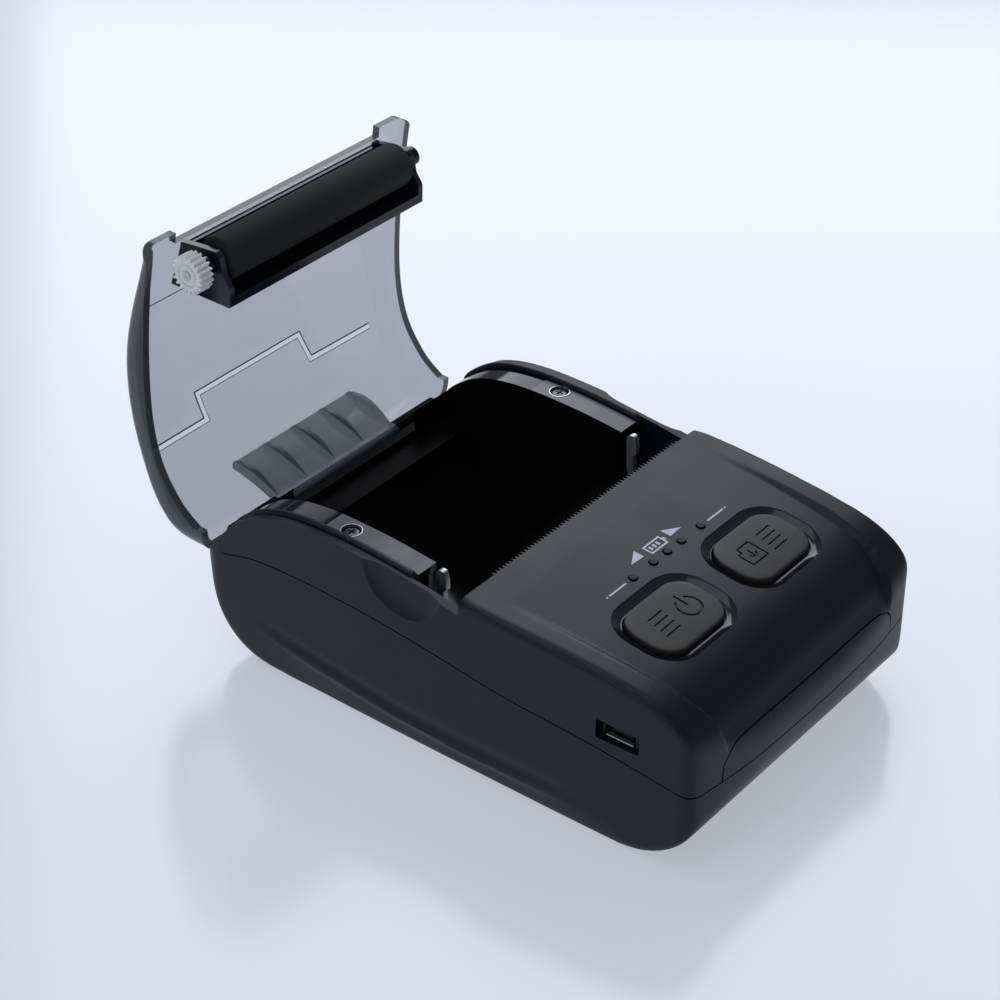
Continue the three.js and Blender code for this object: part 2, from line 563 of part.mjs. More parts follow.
function thermalHead() {
  return headBlock(-8.2, 3, 0.35, 1.35, 26);
}

function heatSink() {
  const plate = headBlock(-8.6, 2.6, 1.65, 3.6, 26.8);
  const ends = FRAME_X - 2 * GAP;
  return plate.add(cylinderX(HEAD_PIVOT.r, -ends, ends, HEAD_PIVOT.y, HEAD_PIVOT.z, 12));
}

function headSpring() {
  const leaf = [[-4, 12.2], [-3.6, 12.2], [-1.6, 22.4], [-2.0, 22.5]];
  return prismX(leaf, -9, 9);
}

function latchArm(side) {
  const outline = new THREE.Shape();
  outline.moveTo(LATCH.y - LATCH.ear, LATCH.z);
  outline.absarc(LATCH.y, LATCH.z, LATCH.ear, Math.PI, Math.PI * 2);
  outline.lineTo(12, 30);
  outline.lineTo(12.2, LATCH.top - 1);
  outline.quadraticCurveTo(12.2, LATCH.top, 11.4, LATCH.top);
  outline.lineTo(10.9, LATCH.top);
  outline.lineTo(9.8, LATCH.top - 2.2);
  outline.lineTo(9.8, LATCH.top - 4.2);
  outline.lineTo(10.6, LATCH.top - 4.8);
  outline.lineTo(10.2, 28);
  return prismX(outline, ...span(side, LATCH.x0, LATCH.x1))
    .subtract(cylinderX(AXLE_R + GAP, -WIDE, WIDE, LATCH.y, LATCH.z, 16));
}

function stepperMotor() {
  const face = 2 * GAP - FRAME_X;
  return cylinderX(MOTOR.r, face, face + MOTOR.length, PINION.y, PINION.z, 28);
}

function motorShaft() {
  return cylinderX(MOTOR.shaft, GEAR_X + 0.1, -FRAME_X, PINION.y, PINION.z, 12);
}

// ---- electrics ----------------------------------------------------------------------
function mainBoard() {
  const board = box([-BOARD.x, BOARD.front, BOARD.z], [BOARD.x, BOARD.rear, BOARD.z + BOARD.t]);
  const tongueEnd = WALL + 1.7 - HALF_WIDTH;
  const tongue = box([tongueEnd, USB.y - 4.6, BOARD.z], [1 - BOARD.x, USB.y + 4.6, BOARD.z + BOARD.t]);
  return board.add(tongue);
}

function usbSocket() {
  const x0 = -HALF_WIDTH + WALL + 0.4;
  const z = usbZ() - 0.25;
  const can = box([x0, USB.y - USB.w / 2, z - USB.h / 2], [x0 + USB.d, USB.y + USB.w / 2, z + USB.h / 2]);
  const mouth = box([x0 - 1, USB.y - USB.w / 2 + 0.4, z - USB.h / 2 + 0.4],
    [x0 + USB.d - 0.6, USB.y + USB.w / 2 - 0.4, z + USB.h / 2 - 0.4]);
  const tongue = box([x0 + 0.8, USB.y - 2.2, z - 0.3], [x0 + USB.d - 0.3, USB.y + 2.2, z + 0.4]);
  return can.subtract(mouth).add(tongue);
}

const BOARD_TOP = BOARD.z + BOARD.t;
const SWITCH_H = 3.2;

function tactSwitch(side) {
  const x = side * BUTTON.x;
  const [low, high] = [BOARD_TOP + 0.1, BOARD_TOP + SWITCH_H - 1];
  const body = box([x - 3, BUTTON.y - 3, low], [x + 3, BUTTON.y + 3, high]);
  return body.add(cylinderZ(1.6, BOARD_TOP + 1, BOARD_TOP + SWITCH_H, x, BUTTON.y));
}

function pushButton(side) {
  const x = side * BUTTON.x;
  const cap = buttonPrism(side, 0, 32.4, 60).intersect(caseSolid(-BUTTON.rise));
  const flange = buttonPrism(side, 1.2, 32.4, 33.4);
  const stem = cylinderZ(1.8, BOARD_TOP + SWITCH_H + 1, 33, x, BUTTON.y);
  return joined([cap, flange, stem]);
}

function lightGuide() {
  const bar = box([-13, LAMP_Y - 1.5, 31], [13, LAMP_Y + 1.5, 34]);
  const pins = LAMP_X.map((x) => cylinderZ(LAMP_R, 32, deckZ(LAMP_Y) - 0.15, x, LAMP_Y, 12));
  return joined([bar, ...pins]);
}

const lampChip = (x) => box([x - 0.8, LAMP_Y - 0.5, BOARD_TOP + 0.1], [x + 0.8, LAMP_Y + 0.5, BOARD_TOP + 0.9]);

function batteryPack() {
  return cylinderX(CELL.r, -CELL.half, CELL.half, CELL.y, CELL.z, 28);
}

function batteryContact(side) {
  const [x0, x1] = span(side, CELL.half + GAP, CELL.half + 0.9);
  return box([x0, CELL.y - 3, 4], [x1, CELL.y + 3, 18]);
}

function radioModule() {
  return box([4, BOARD.front + 2, BOARD.z - 2.4], [20, BOARD.front + 14, BOARD.z - 0.3]);
}

function paperSensor() {
  return box([12, 3.4, FRAME_LOW + 1.5], [17, 7, FRAME_LOW + 5.5]);
}

// ---- assembly -----------------------------------------------------------------------
const printer = new THREE.Group();

const lid = new THREE.Group();
lid.position.set(0, HINGE.y, HINGE.z);
lid.rotation.x = -LID_OPEN;
const lidFrame = new THREE.Group();
lidFrame.position.set(0, -HINGE.y, -HINGE.z);
lid.add(lidFrame);

const platenShaft = cylinderX(SHAFT_R - FIT, GEAR_X - 0.2, BUSH_END + GAP, PLATEN.y, PLATEN.z, 16);
lidFrame.add(
  piece('lid', lidShell(), smoked),
  piece('lid_hinge_arm', hingeArm(), smokedDark),
  piece('platen_bracket', platenBracket(), glossBlack),
  piece('platen_roller', platenRoller(), rubber),
  piece('platen_shaft', platenShaft, steel),
  piece('platen_bush_left', bush(-1), brass),
  piece('platen_bush_right', bush(1), brass),
  gearPiece('platen_gear', PLATEN, TEETH.platen, SHAFT_R, platenTooth, nylon),
);

printer.add(
  piece('bottom_shell', bottomShell(), satinBlack),
  piece('upper_shell', upperShell(), satinBlack),
  piece('battery_door', batteryDoor(), satinBlack),
  piece('paper_bin', paperBin(), glossBlack),
  piece('hinge_pin', cylinderX(PIN_R, -KNUCKLE_END - 0.2, KNUCKLE_END + 0.2, HINGE.y, HINGE.z, 16), steel),
  lid,
  piece('head_frame', headFrame(), steel),
  piece('thermal_head', thermalHead(), ceramic),
  piece('head_heatsink', heatSink(), aluminium),
  piece('head_spring', headSpring(), steel),
  piece('latch_arm_left', latchArm(-1), steel),
  piece('latch_arm_right', latchArm(1), steel),
  piece('stepper_motor', stepperMotor(), steel),
  piece('motor_shaft', motorShaft(), steel),
  gearPiece('motor_pinion', PINION, TEETH.pinion, MOTOR.shaft + FIT, pinionTooth, brass),
  gearPiece('idler_gear', IDLER, TEETH.idler, AXLE_R + GAP, idlerTooth, nylon),
  gearPiece('drive_gear', DRIVE, TEETH.drive, AXLE_R + GAP, driveTooth, nylon),
  piece('main_board', mainBoard(), boardGreen),
  piece('usb_socket', usbSocket(), steel),
  piece('radio_module', radioModule(), aluminium),
  piece('power_switch', tactSwitch(-1), glossBlack),
  piece('feed_switch', tactSwitch(1), glossBlack),
  piece('power_button', pushButton(-1), buttonGrey),
  piece('feed_button', pushButton(1), buttonGrey),
  piece('light_guide', lightGuide(), lampClear),
  piece('battery_pack', batteryPack(), wrapBlue),
  piece('battery_contact_left', batteryContact(-1), brass),
  piece('battery_contact_right', batteryContact(1), brass),
  piece('paper_sensor', paperSensor(), glossBlack),
);
LAMP_X.forEach((x, i) => printer.add(piece(`lamp_${i + 1}`, lampChip(x), lampClear)));
CASE_SCREWS.forEach(([x, y], i) => {
  printer.add(piece(`case_screw_${i + 1}`, screw(SCREW, x, y, SCREW.sink, -1), steel));
});
SIDES.forEach((side, i) => {
  const face = ledgeZ() - BIN_SCREW.sink;
  printer.add(piece(`bin_screw_${i + 1}`, screw(BIN_SCREW, side * BIN_SCREW.x, BIN_SCREW.y, face, 1), steel));
});

export default printer;
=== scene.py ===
"""Looks of a pocket receipt printer with its smoked lid swung open.

Lengths inside this file are in millimetres and are turned into metres where a mesh is made.
+X is to the right as seen from the front, +Y to the rear and +Z up.
"""
import logging
import math
from collections.abc import Callable, Sequence
from dataclasses import dataclass, field
from enum import Enum

import bmesh
import bpy
import numpy as np
from mathutils import Matrix, Vector


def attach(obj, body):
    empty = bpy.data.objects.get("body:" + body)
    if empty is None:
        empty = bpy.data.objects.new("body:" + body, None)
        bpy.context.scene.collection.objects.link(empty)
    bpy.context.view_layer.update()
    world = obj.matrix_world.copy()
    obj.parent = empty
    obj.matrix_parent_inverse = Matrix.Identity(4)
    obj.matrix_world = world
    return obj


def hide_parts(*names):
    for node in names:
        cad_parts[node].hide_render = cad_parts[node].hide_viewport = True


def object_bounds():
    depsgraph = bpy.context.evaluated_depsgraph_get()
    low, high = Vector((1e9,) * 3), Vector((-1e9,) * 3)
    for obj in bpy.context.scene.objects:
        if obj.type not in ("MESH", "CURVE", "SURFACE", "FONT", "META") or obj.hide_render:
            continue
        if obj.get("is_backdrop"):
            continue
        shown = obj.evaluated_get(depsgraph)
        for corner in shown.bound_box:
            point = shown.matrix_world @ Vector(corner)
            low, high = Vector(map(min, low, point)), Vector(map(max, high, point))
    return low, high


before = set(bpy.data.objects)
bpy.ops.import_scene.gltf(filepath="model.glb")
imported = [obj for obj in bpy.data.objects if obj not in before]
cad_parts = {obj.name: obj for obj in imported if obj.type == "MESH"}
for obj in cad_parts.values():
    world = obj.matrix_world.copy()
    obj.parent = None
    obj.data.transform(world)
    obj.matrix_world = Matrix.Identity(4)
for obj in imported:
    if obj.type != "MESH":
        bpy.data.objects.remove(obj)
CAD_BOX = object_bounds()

LOG = logging.getLogger("receipt_printer")
MM = 0.001
SIDES = (-1, 1)
Point = tuple[float, float]
Point3 = tuple[float, float, float]
Test = Callable[[np.ndarray], np.ndarray]

SCATTER_DEPTH = 0.0015  # how far light wanders in the white nylon, in metres
WIDE = 45.0  # half-width of a cutter that passes both sides of the case
HIGH = 90.0  # where a cutter ends that passes the case's top or its rear
BUTTON_AT: Point = (14.2, -30.3)  # x and y of the right button's middle
BUTTON_SIZE: Point3 = (19.8, 13.2, 4.9)  # width, depth and corner radius
HALVINGS = 24  # steps of a search for the form's surface
CASE_SCREWS: tuple[Point, ...] = ((-33, -20.5), (33, -20.5), (-33, 51), (33, 51))


# ---- finishes -----------------------------------------------------------------------------
class Wire:
    """A node output that takes arithmetic, each step of which adds a Math node."""

    def __init__(self, shader: "Shader", socket: bpy.types.NodeSocket | None) -> None:
        """Keeps the socket and the tree that it belongs to."""
        self.shader = shader
        self.socket = socket

    def math(self, operation: str, *values: "float | Wire", clamp: bool = False) -> "Wire":
        """Adds a Math node.

        Args:
            operation: the node's operation.
            values: what follows this wire in the node's inputs.
            clamp: keeps the result between 0 and 1.

        Returns:
            The result.
        """
        settings = {"operation": operation, "use_clamp": clamp}
        return self.shader.node("ShaderNodeMath", settings, dict(enumerate((self, *values))))

    def __add__(self, other: "float | Wire") -> "Wire":
        """Returns the sum."""
        return self.math("ADD", other)

    __radd__ = __add__

    def __mul__(self, other: "float | Wire") -> "Wire":
        """Returns the product."""
        return self.math("MULTIPLY", other)

    __rmul__ = __mul__

    def __sub__(self, other: "float | Wire") -> "Wire":
        """Returns this less the other."""
        return self.math("SUBTRACT", other)

    def __rsub__(self, other: float) -> "Wire":
        """Returns the other less this."""
        return self * -1.0 + other

    def ramp(self, low: float, high: float) -> "Wire":
        """Returns 0 at low and below, 1 at high and above, and a straight rise between."""
        return ((self - low) * (1 / (high - low))).math("ADD", 0.0, clamp=True)


class Shader:
    """A material's node tree, with one method for every node."""

    def __init__(self, name: str) -> None:
        """Makes an empty material of that name."""
        self.material = bpy.data.materials.new(name)
        self.material.use_nodes = True
        self.tree = self.material.node_tree
        self.tree.nodes.clear()

    def node(self, kind: str, settings: dict, inputs: dict, output: int | str = 0) -> Wire:
        """Adds a node.

        Args:
            kind: the node's type.
            settings: its properties, set before its inputs.
            inputs: values or wires by socket name or number.
            output: the output that is wanted.

        Returns:
            That output, or an empty wire from the node that ends the tree.
        """
        made = self.tree.nodes.new(kind)
        for key, value in settings.items():
            setattr(made, key, value)
        for key, value in inputs.items():
            if isinstance(value, Wire):
                self.tree.links.new(value.socket, made.inputs[key])
            else:
                made.inputs[key].default_value = value
        return Wire(self, made.outputs[output] if made.outputs else None)

    def noise(self, size: float, detail: float = 2.0, stretch: Sequence[float] = (1, 1, 1)) -> Wire:
        """Returns fractal noise over the piece's own coordinates.

        Args:
            size: the size of its features, in millimetres.
            detail: how many octaves it has.
            stretch: above 1 shortens the features along that axis.

        Returns:
            The noise.
        """
        position = self.node("ShaderNodeTexCoord", {}, {}, "Object")
        scale = tuple(s / size / MM for s in stretch)
        where = self.node("ShaderNodeMapping", {}, {"Vector": position, "Scale": scale})
        return self.node("ShaderNodeTexNoise", {}, {"Vector": where, "Scale": 1.0, "Detail": detail})

    def blend(self, factor: "float | Wire", a: Sequence[float], b: "Sequence[float] | Wire") -> Wire:
        """Returns the mix of two colours."""
        inputs = {0: factor, 6: (*a, 1.0), 7: b if isinstance(b, Wire) else (*b, 1.0)}
        return self.node("ShaderNodeMix", {"data_type": "RGBA"}, inputs, 2)

    def bump(self, height: Wire, depth: float, under: Wire | None = None) -> Wire:
        """Returns a normal bent by a height.

        Args:
            height: the height, from 0 to 1.
            depth: what a height of 1 stands for, in millimetres.
            under: another bend that this one goes over.

        Returns:
            The normal.
        """
        inputs = {"Height": height, "Distance": depth * MM}
        if under:
            inputs["Normal"] = under
        return self.node("ShaderNodeBump", {}, inputs)

    def surface(self, inputs: dict) -> bpy.types.Material:
        """Ends the material in a Principled shader.

        Args:
            inputs: the shader's inputs.

        Returns:
            The material.
        """
        shader = self.node("ShaderNodeBsdfPrincipled", {}, inputs)
        self.node("ShaderNodeOutputMaterial", {}, {"Surface": shader})
        return self.material


@dataclass(frozen=True)
class Finish:
    """A surface finish: plain values plus the fine detail that a real one shows."""

    name: str
    slot: str
    colour: tuple[float, float, float]
    roughness: float
    metallic: float = 0.0
    alpha: float = 1.0
    grain: float = 0.0  # depth of the fine texture
    grain_size: float = 0.3
    stretch: tuple[float, float, float] = (1, 1, 1)  # above 1 shortens the grain along that axis
    mottle: float = 0.08  # how far the colour wanders, as a share
    mottle_size: float = 9.0
    smear: float = 0.06  # how far the roughness wanders
    smear_size: float = 14.0
    wave: float = 0.0  # depth of the slow waviness of moulded plastic
    wave_size: float = 7.0
    subsurface: float = 0.0
    specular: float = 0.5
    painted_glow: float = 0.0  # painted light: emission that brightens it, in place of light scattered through it

    def material(self) -> bpy.types.Material:
        """Returns the material, made on first use."""
        made = bpy.data.materials.get(self.name)
        return made or self.build()

    def build(self) -> bpy.types.Material:
        """Returns a new material."""
        shader = Shader(self.name)
        dark = tuple(c * (1 - self.mottle) for c in self.colour)
        light = tuple(min(1.0, c * (1 + self.mottle)) for c in self.colour)
        patches = shader.noise(self.mottle_size, 4.0).ramp(0.35, 0.65)
        smears = shader.noise(self.smear_size, 5.0).ramp(0.3, 0.7)
        rough = smears * (2 * self.smear) + (self.roughness - self.smear)
        inputs = {
            "Base Color": shader.blend(patches, dark, light),
            "Roughness": rough,
            "Metallic": self.metallic,
            "Alpha": self.alpha,
            "Subsurface Weight": self.subsurface,
            "Subsurface Scale": SCATTER_DEPTH,
            "Specular IOR Level": self.specular,
            "Emission Color": (*self.colour, 1.0),
            "Emission Strength": self.painted_glow,
        }
        normal = None
        if self.wave:
            normal = shader.bump(shader.noise(self.wave_size, 1.0), self.wave)
        if self.grain:
            normal = shader.bump(shader.noise(self.grain_size, 3.0, self.stretch), self.grain, normal)
        if normal:
            inputs["Normal"] = normal
        return shader.surface(inputs)


SATIN = Finish("satin_black_plastic", "satin_black", (0.0062, 0.0085, 0.0160), 0.39, grain=0.014,
               grain_size=0.24, mottle=0.06, smear=0.03, specular=0.26)
GLOSS = Finish("gloss_black_plastic", "gloss_black", (0.004, 0.0042, 0.005), 0.10, wave=0.004,
               mottle=0.1, smear=0.03, specular=0.26)
RECESS = Finish("polished_recess", "satin_black", (0.010, 0.011, 0.013), 0.14, wave=0.003, smear=0.03)
CAP = Finish("button_plastic", "button_grey", (0.027, 0.025, 0.025), 0.38, grain=0.006, grain_size=0.2,
             smear=0.04, specular=0.28)
SMOKED = Finish("smoked_clear_plastic", "smoked_clear", (0.01, 0.09, 0.29), 0.07, alpha=0.36, wave=0.006,
                wave_size=11.0, mottle=0.05, smear=0.03)
# dense smoked plastic for the lid's cut edges, and painted shade on the left cheek's outer face
SMOKED_EDGE_AND_SHADE = Finish("smoked_edge_and_painted_shade", "smoked_clear", (0.010, 0.014, 0.026), 0.16, alpha=0.93,
                     wave=0.004, mottle=0.2, smear=0.05, specular=0.3)
SMOKED_ARM = Finish("smoked_plastic_arm", "smoked_dark", (0.055, 0.075, 0.12), 0.16, alpha=0.56, wave=0.004,
                    mottle=0.12, smear=0.05)
RUBBER = Finish("platen_rubber", "platen_rubber", (0.006, 0.006, 0.007), 0.46, grain=0.012, grain_size=0.6,
                stretch=(0.18, 1, 1), mottle=0.2, smear=0.06, smear_size=4.0, specular=0.2)
PLATED = Finish("plated_steel", "plated_steel", (0.78, 0.79, 0.82), 0.30, metallic=1.0, grain=0.004,
                grain_size=0.5, stretch=(1, 1, 0.1), mottle=0.10, mottle_size=1.5, smear=0.08, smear_size=2.0)
DARK_STEEL = Finish("blackened_steel", "plated_steel", (0.10, 0.10, 0.105), 0.28, metallic=1.0, mottle=0.2,
                    mottle_size=1.0, smear=0.08, smear_size=1.5)
# painted light: the white nylon glows faintly, brightening the gears beyond what the lamps give
NYLON = Finish("white_nylon", "white_nylon", (0.93, 0.94, 0.95), 0.38, subsurface=0.25, grain=0.003,
               mottle=0.03, mottle_size=2.0, painted_glow=0.38)
BOARD_GREEN = Finish("solder_mask", "circuit_board", (0.012, 0.10, 0.04), 0.32, mottle=0.25, mottle_size=1.6)
CERAMIC = Finish("glazed_ceramic", "ceramic", (0.72, 0.71, 0.67), 0.18, mottle=0.04)
ALUMINIUM = Finish("extruded_aluminium", "aluminium", (0.55, 0.56, 0.57), 0.34, metallic=1.0, grain=0.004,
                   grain_size=0.4, stretch=(0.08, 1, 1))
WRAP = Finish("cell_wrap", "cell_wrap", (0.02, 0.07, 0.24), 0.25, mottle=0.1, wave=0.03, wave_size=4.0)
LENS = Finish("lamp_lens", "clear_lens", (0.003, 0.003, 0.004), 0.35, mottle=0.1, specular=0.1)
LAMP = Finish("lamp_chip", "clear_lens", (0.06, 0.06, 0.05), 0.4, specular=0.2)
# painted reflection: the glossy black ledges are painted light grey where they mirror the bright light above
LEDGE_REFLECTION = Finish("ledge_painted_reflection", "gloss_black", (0.150, 0.157, 0.178), 0.34, wave=0.003, mottle=0.12,
               mottle_size=5.0, smear=0.05, specular=0.3)
SHADED = Finish("shaded_plastic", "gloss_black", (0.003, 0.003, 0.004), 0.5, mottle=0.1, specular=0.03)
# painted shade: the steel socket is painted near black, as the inside of its slot lies in shade
SOCKET_SHADE = Finish("socket_painted_shade", "plated_steel", (0.010, 0.010, 0.011), 0.4, specular=0.2)
BRASS = Finish("turned_brass", "brass", (0.58, 0.40, 0.15), 0.26, metallic=1.0, grain=0.003, grain_size=0.2)
PRINT = Finish("printed_mark", "satin_black", (0.66, 0.71, 0.86), 0.5, mottle=0.05, mottle_size=0.5)
LINE_DARK = Finish("printed_line", "gloss_black", (0.006, 0.006, 0.009), 0.35, mottle=0.1)
# painted light: the pale line glows, so it reads lighter than the lid round it
LINE_PALE = Finish("pale_line_painted_glow", "smoked_clear", (0.90, 0.94, 0.99), 0.45, alpha=0.85, mottle=0.03,
                   painted_glow=0.42)
TROUGH = Finish("trough_plastic", "gloss_black", (0.011, 0.014, 0.022), 0.16, wave=0.004, mottle=0.1,
                smear=0.04, specular=0.3)

CAD_FINISHES: dict[str, Finish] = {
    "hinge_pin": PLATED, "platen_shaft": PLATED, "platen_bush_left": GLOSS, "platen_bush_right": GLOSS,
    "head_frame": PLATED, "thermal_head": CERAMIC, "head_heatsink": ALUMINIUM, "head_spring": PLATED,
    "stepper_motor": PLATED, "motor_shaft": PLATED, "motor_pinion": BRASS, "idler_gear": NYLON,
    "drive_gear": NYLON, "main_board": BOARD_GREEN, "usb_socket": SOCKET_SHADE, "radio_module": ALUMINIUM,
    "power_switch": GLOSS, "feed_switch": GLOSS, "light_guide": LENS, "battery_pack": WRAP,
    "battery_contact_left": BRASS, "battery_contact_right": BRASS, "paper_sensor": GLOSS,
    **{f"lamp_{i}": LAMP for i in range(1, 6)},
}


# ---- curves and solids --------------------------------------------------------------------
class Outline:
    """A plane outline made of lines, cubic curves and arcs."""

    def __init__(self, *start: float, steps: int = 24) -> None:
        """Starts at a point; each curve is drawn with that many steps."""
        self.points: list[Point] = [start] if start else []
        self.steps = steps

    def line(self, *points: Point) -> "Outline":
        """Adds straight lines to the points."""
        self.points += points
        return self

    def cubic(self, a: Point, b: Point, end: Point) -> "Outline":
        """Adds a cubic curve.

        Args:
            a: the first handle.
            b: the second handle.
            end: where it ends.

        Returns:
            The outline.
        """
        p0, p1, p2, p3 = (np.array(p, float) for p in (self.points[-1], a, b, end))
        for i in range(1, self.steps + 1):
            t = i / self.steps
            at = (1 - t) ** 3 * p0 + 3 * t * (1 - t) ** 2 * p1 + 3 * t * t * (1 - t) * p2 + t ** 3 * p3
            self.points.append(tuple(at))
        return self

    def arc(self, centre: Point, radius: float, start: float, end: float) -> "Outline":
        """Adds an arc.

        Args:
            centre: its centre.
            radius: its radius.
            start: the angle at its start, in degrees.
            end: the angle at its end, in degrees.

        Returns:
            The outline.
        """
        for i in range(self.steps + 1):
            angle = math.radians(start + (end - start) * i / self.steps)
            self.points.append((centre[0] + radius * math.cos(angle), centre[1] + radius * math.sin(angle)))
        return self

    def array(self) -> np.ndarray:
        """Returns the points without repeats."""
        kept = [p for i, p in enumerate(self.points) if math.dist(p, self.points[i - 1]) > 1e-6]
        return np.array(kept, float)


def circle(u: float, v: float, radius: float, sides: int = 64) -> np.ndarray:
    """Returns a round outline."""
    angles = np.linspace(0, 2 * math.pi, sides, endpoint=False)
    return np.column_stack([u + radius * np.cos(angles), v + radius * np.sin(angles)])


def rounded_rectangle(width: float, depth: float, radius: float, u: float = 0, v: float = 0,
                      steps: int = 10) -> np.ndarray:
    """Returns a rectangle with round corners.

    Args:
        width: its size along the first axis.
        depth: its size along the second axis.
        radius: the radius of its corners.
        u: its centre on the first axis.
        v: its centre on the second axis.
        steps: how many steps a corner has.

    Returns:
        The outline.
    """
    w, d = width / 2 - radius, depth / 2 - radius
    outline = Outline(steps=steps)
    for k, (a, b) in enumerate(((w, d), (-w, d), (-w, -d), (w, -d))):
        outline.arc((u + a, v + b), radius, 90 * k, 90 * k + 90)
    return outline.array()


def spline(points: Sequence[Point], count: int = 160) -> np.ndarray:
    """Returns a smooth curve.

    Args:
        points: what it passes through.
        count: how many points it is drawn with.

    Returns:
        The curve.
    """
    p = np.array([points[0], *points, points[-1]], float)
    t = np.linspace(0, len(points) - 1, count)
    k = np.minimum(t.astype(int), len(points) - 2)
    f = (t - k)[:, None]
    p0, p1, p2, p3 = (p[k + i] for i in range(4))
    return 0.5 * (2 * p1 + (p2 - p0) * f + (2 * p0 - 5 * p1 + 4 * p2 - p3) * f ** 2
                  + (3 * p1 - p0 - 3 * p2 + p3) * f ** 3)


class Axis(Enum):
    """Which axis a prism runs along; its outline lies in the other two, in X, Y, Z order."""

    X = 0
    Y = 1
    Z = 2


class Join(Enum):
    """How two solids are put together."""

    ADD = "UNION"
    CUT = "DIFFERENCE"
    KEEP = "INTERSECT"


class Solid:
    """A closed mesh in millimetres that can be joined, cut and kept."""

    def __init__(self, vertices: np.ndarray, faces: Sequence[Sequence[int]]) -> None:
        """Makes the mesh and turns its faces outwards.

        Args:
            vertices: its points.
            faces: its faces, as numbers of points.
        """
        mesh = bpy.data.meshes.new("solid")
        mesh.from_pydata(np.asarray(vertices, float).tolist(), [], [list(map(int, f)) for f in faces])
        work = bmesh.new()
        work.from_mesh(mesh)
        bmesh.ops.recalc_face_normals(work, faces=work.faces)
        work.to_mesh(mesh)
        work.free()
        self.mesh = mesh

    @classmethod
    def of(cls, mesh: bpy.types.Mesh) -> "Solid":
        """Returns a solid that holds a finished mesh."""
        solid = cls.__new__(cls)
        solid.mesh = mesh
        return solid

    def combined(self, other: "Solid", how: Join) -> "Solid":
        """Returns this solid put together with another.

        Args:
            other: the other solid.
            how: how they are put together.

        Returns:
            The new solid.
        """
        pair = [bpy.data.objects.new("solid", s.mesh) for s in (self, other)]
        for item in pair:
            bpy.context.scene.collection.objects.link(item)
        modifier = pair[0].modifiers.new("join", "BOOLEAN")
        modifier.operation = how.value
        modifier.solver = "MANIFOLD"
        modifier.object = pair[1]
        graph = bpy.context.evaluated_depsgraph_get()
        result = Solid.of(bpy.data.meshes.new_from_object(pair[0].evaluated_get(graph)))
        for item in pair:
            bpy.data.objects.remove(item)
        return result

    def __add__(self, other: "Solid") -> "Solid":
        """Returns both solids as one."""
        return self.combined(other, Join.ADD)

    def __sub__(self, other: "Solid") -> "Solid":
        """Returns this solid with the other cut away."""
        return self.combined(other, Join.CUT)

    def __and__(self, other: "Solid") -> "Solid":
        """Returns what both solids share."""
        return self.combined(other, Join.KEEP)

    def moved(self, matrix: Matrix) -> "Solid":
        """Returns a copy carried elsewhere.

        Args:
            matrix: what carries it.

        Returns:
            The copy.
        """
        result = Solid.of(self.mesh.copy())
        result.mesh.transform(matrix)
        return result

    def bevelled(self, width: float, segments: int, angle: float) -> "Solid":
        """Returns the solid with its sharp edges rounded.

        Args:
            width: how wide the rounding is.
            segments: how many faces it has across.
            angle: the angle in degrees past which an edge is rounded.

        Returns:
            The new solid.
        """
        item = bpy.data.objects.new("solid", self.mesh)
        bpy.context.scene.collection.objects.link(item)
        modifier = item.modifiers.new("edges", "BEVEL")
        modifier.width = width
        modifier.segments = segments
        modifier.limit_method = "ANGLE"
        modifier.angle_limit = math.radians(angle)
        graph = bpy.context.evaluated_depsgraph_get()
        result = Solid.of(bpy.data.meshes.new_from_object(item.evaluated_get(graph)))
        bpy.data.objects.remove(item)
        return result


def joined(solids: Sequence[Solid]) -> Solid:
    """Returns all the solids as one.

    Args:
        solids: the solids.

    Returns:
        Their sum.
    """
    total = solids[0]
    for other in solids[1:]:
        total = total + other
    return total


def prism(axis: Axis, outline: Sequence[Point] | np.ndarray, low: float, high: float) -> Solid:
    """Returns an outline drawn out along an axis.

    Args:
        axis: the axis.
        outline: the outline, in the other two.
        low: one end.
        high: the other end.

    Returns:
        The solid.
    """
    flat = np.asarray(outline, float)
    count = len(flat)
    ends = [np.insert(flat, axis.value, level, axis=1) for level in (min(low, high), max(low, high))]
    sides = [(i, (i + 1) % count, count + (i + 1) % count, count + i) for i in range(count)]
    return Solid(np.vstack(ends), [*sides, range(count), range(count, 2 * count)])


def box(low: Sequence[float], high: Sequence[float]) -> Solid:
    """Returns a box between two corners."""
    corners = [(low[0], low[1]), (high[0], low[1]), (high[0], high[1]), (low[0], high[1])]
    return prism(Axis.Z, corners, low[2], high[2])


def rod(axis: Axis, radius: float, low: float, high: float, centre: Point, sides: int = 64) -> Solid:
    """Returns a cylinder along an axis, about a centre in the other two."""
    return prism(axis, circle(*centre, radius, sides), low, high)


def loft(sections: Sequence[np.ndarray]) -> Solid:
    """Returns a solid through closed sections.

    Args:
        sections: rings with the same number of points.

    Returns:
        The solid.
    """
    count = len(sections[0])
    last = (len(sections) - 1) * count
    sides = [(row + i, row + (i + 1) % count, row + count + (i + 1) % count, row + count + i)
             for row in range(0, last, count) for i in range(count)]
    return Solid(np.vstack(sections), [*sides, range(count), range(last, last + count)])


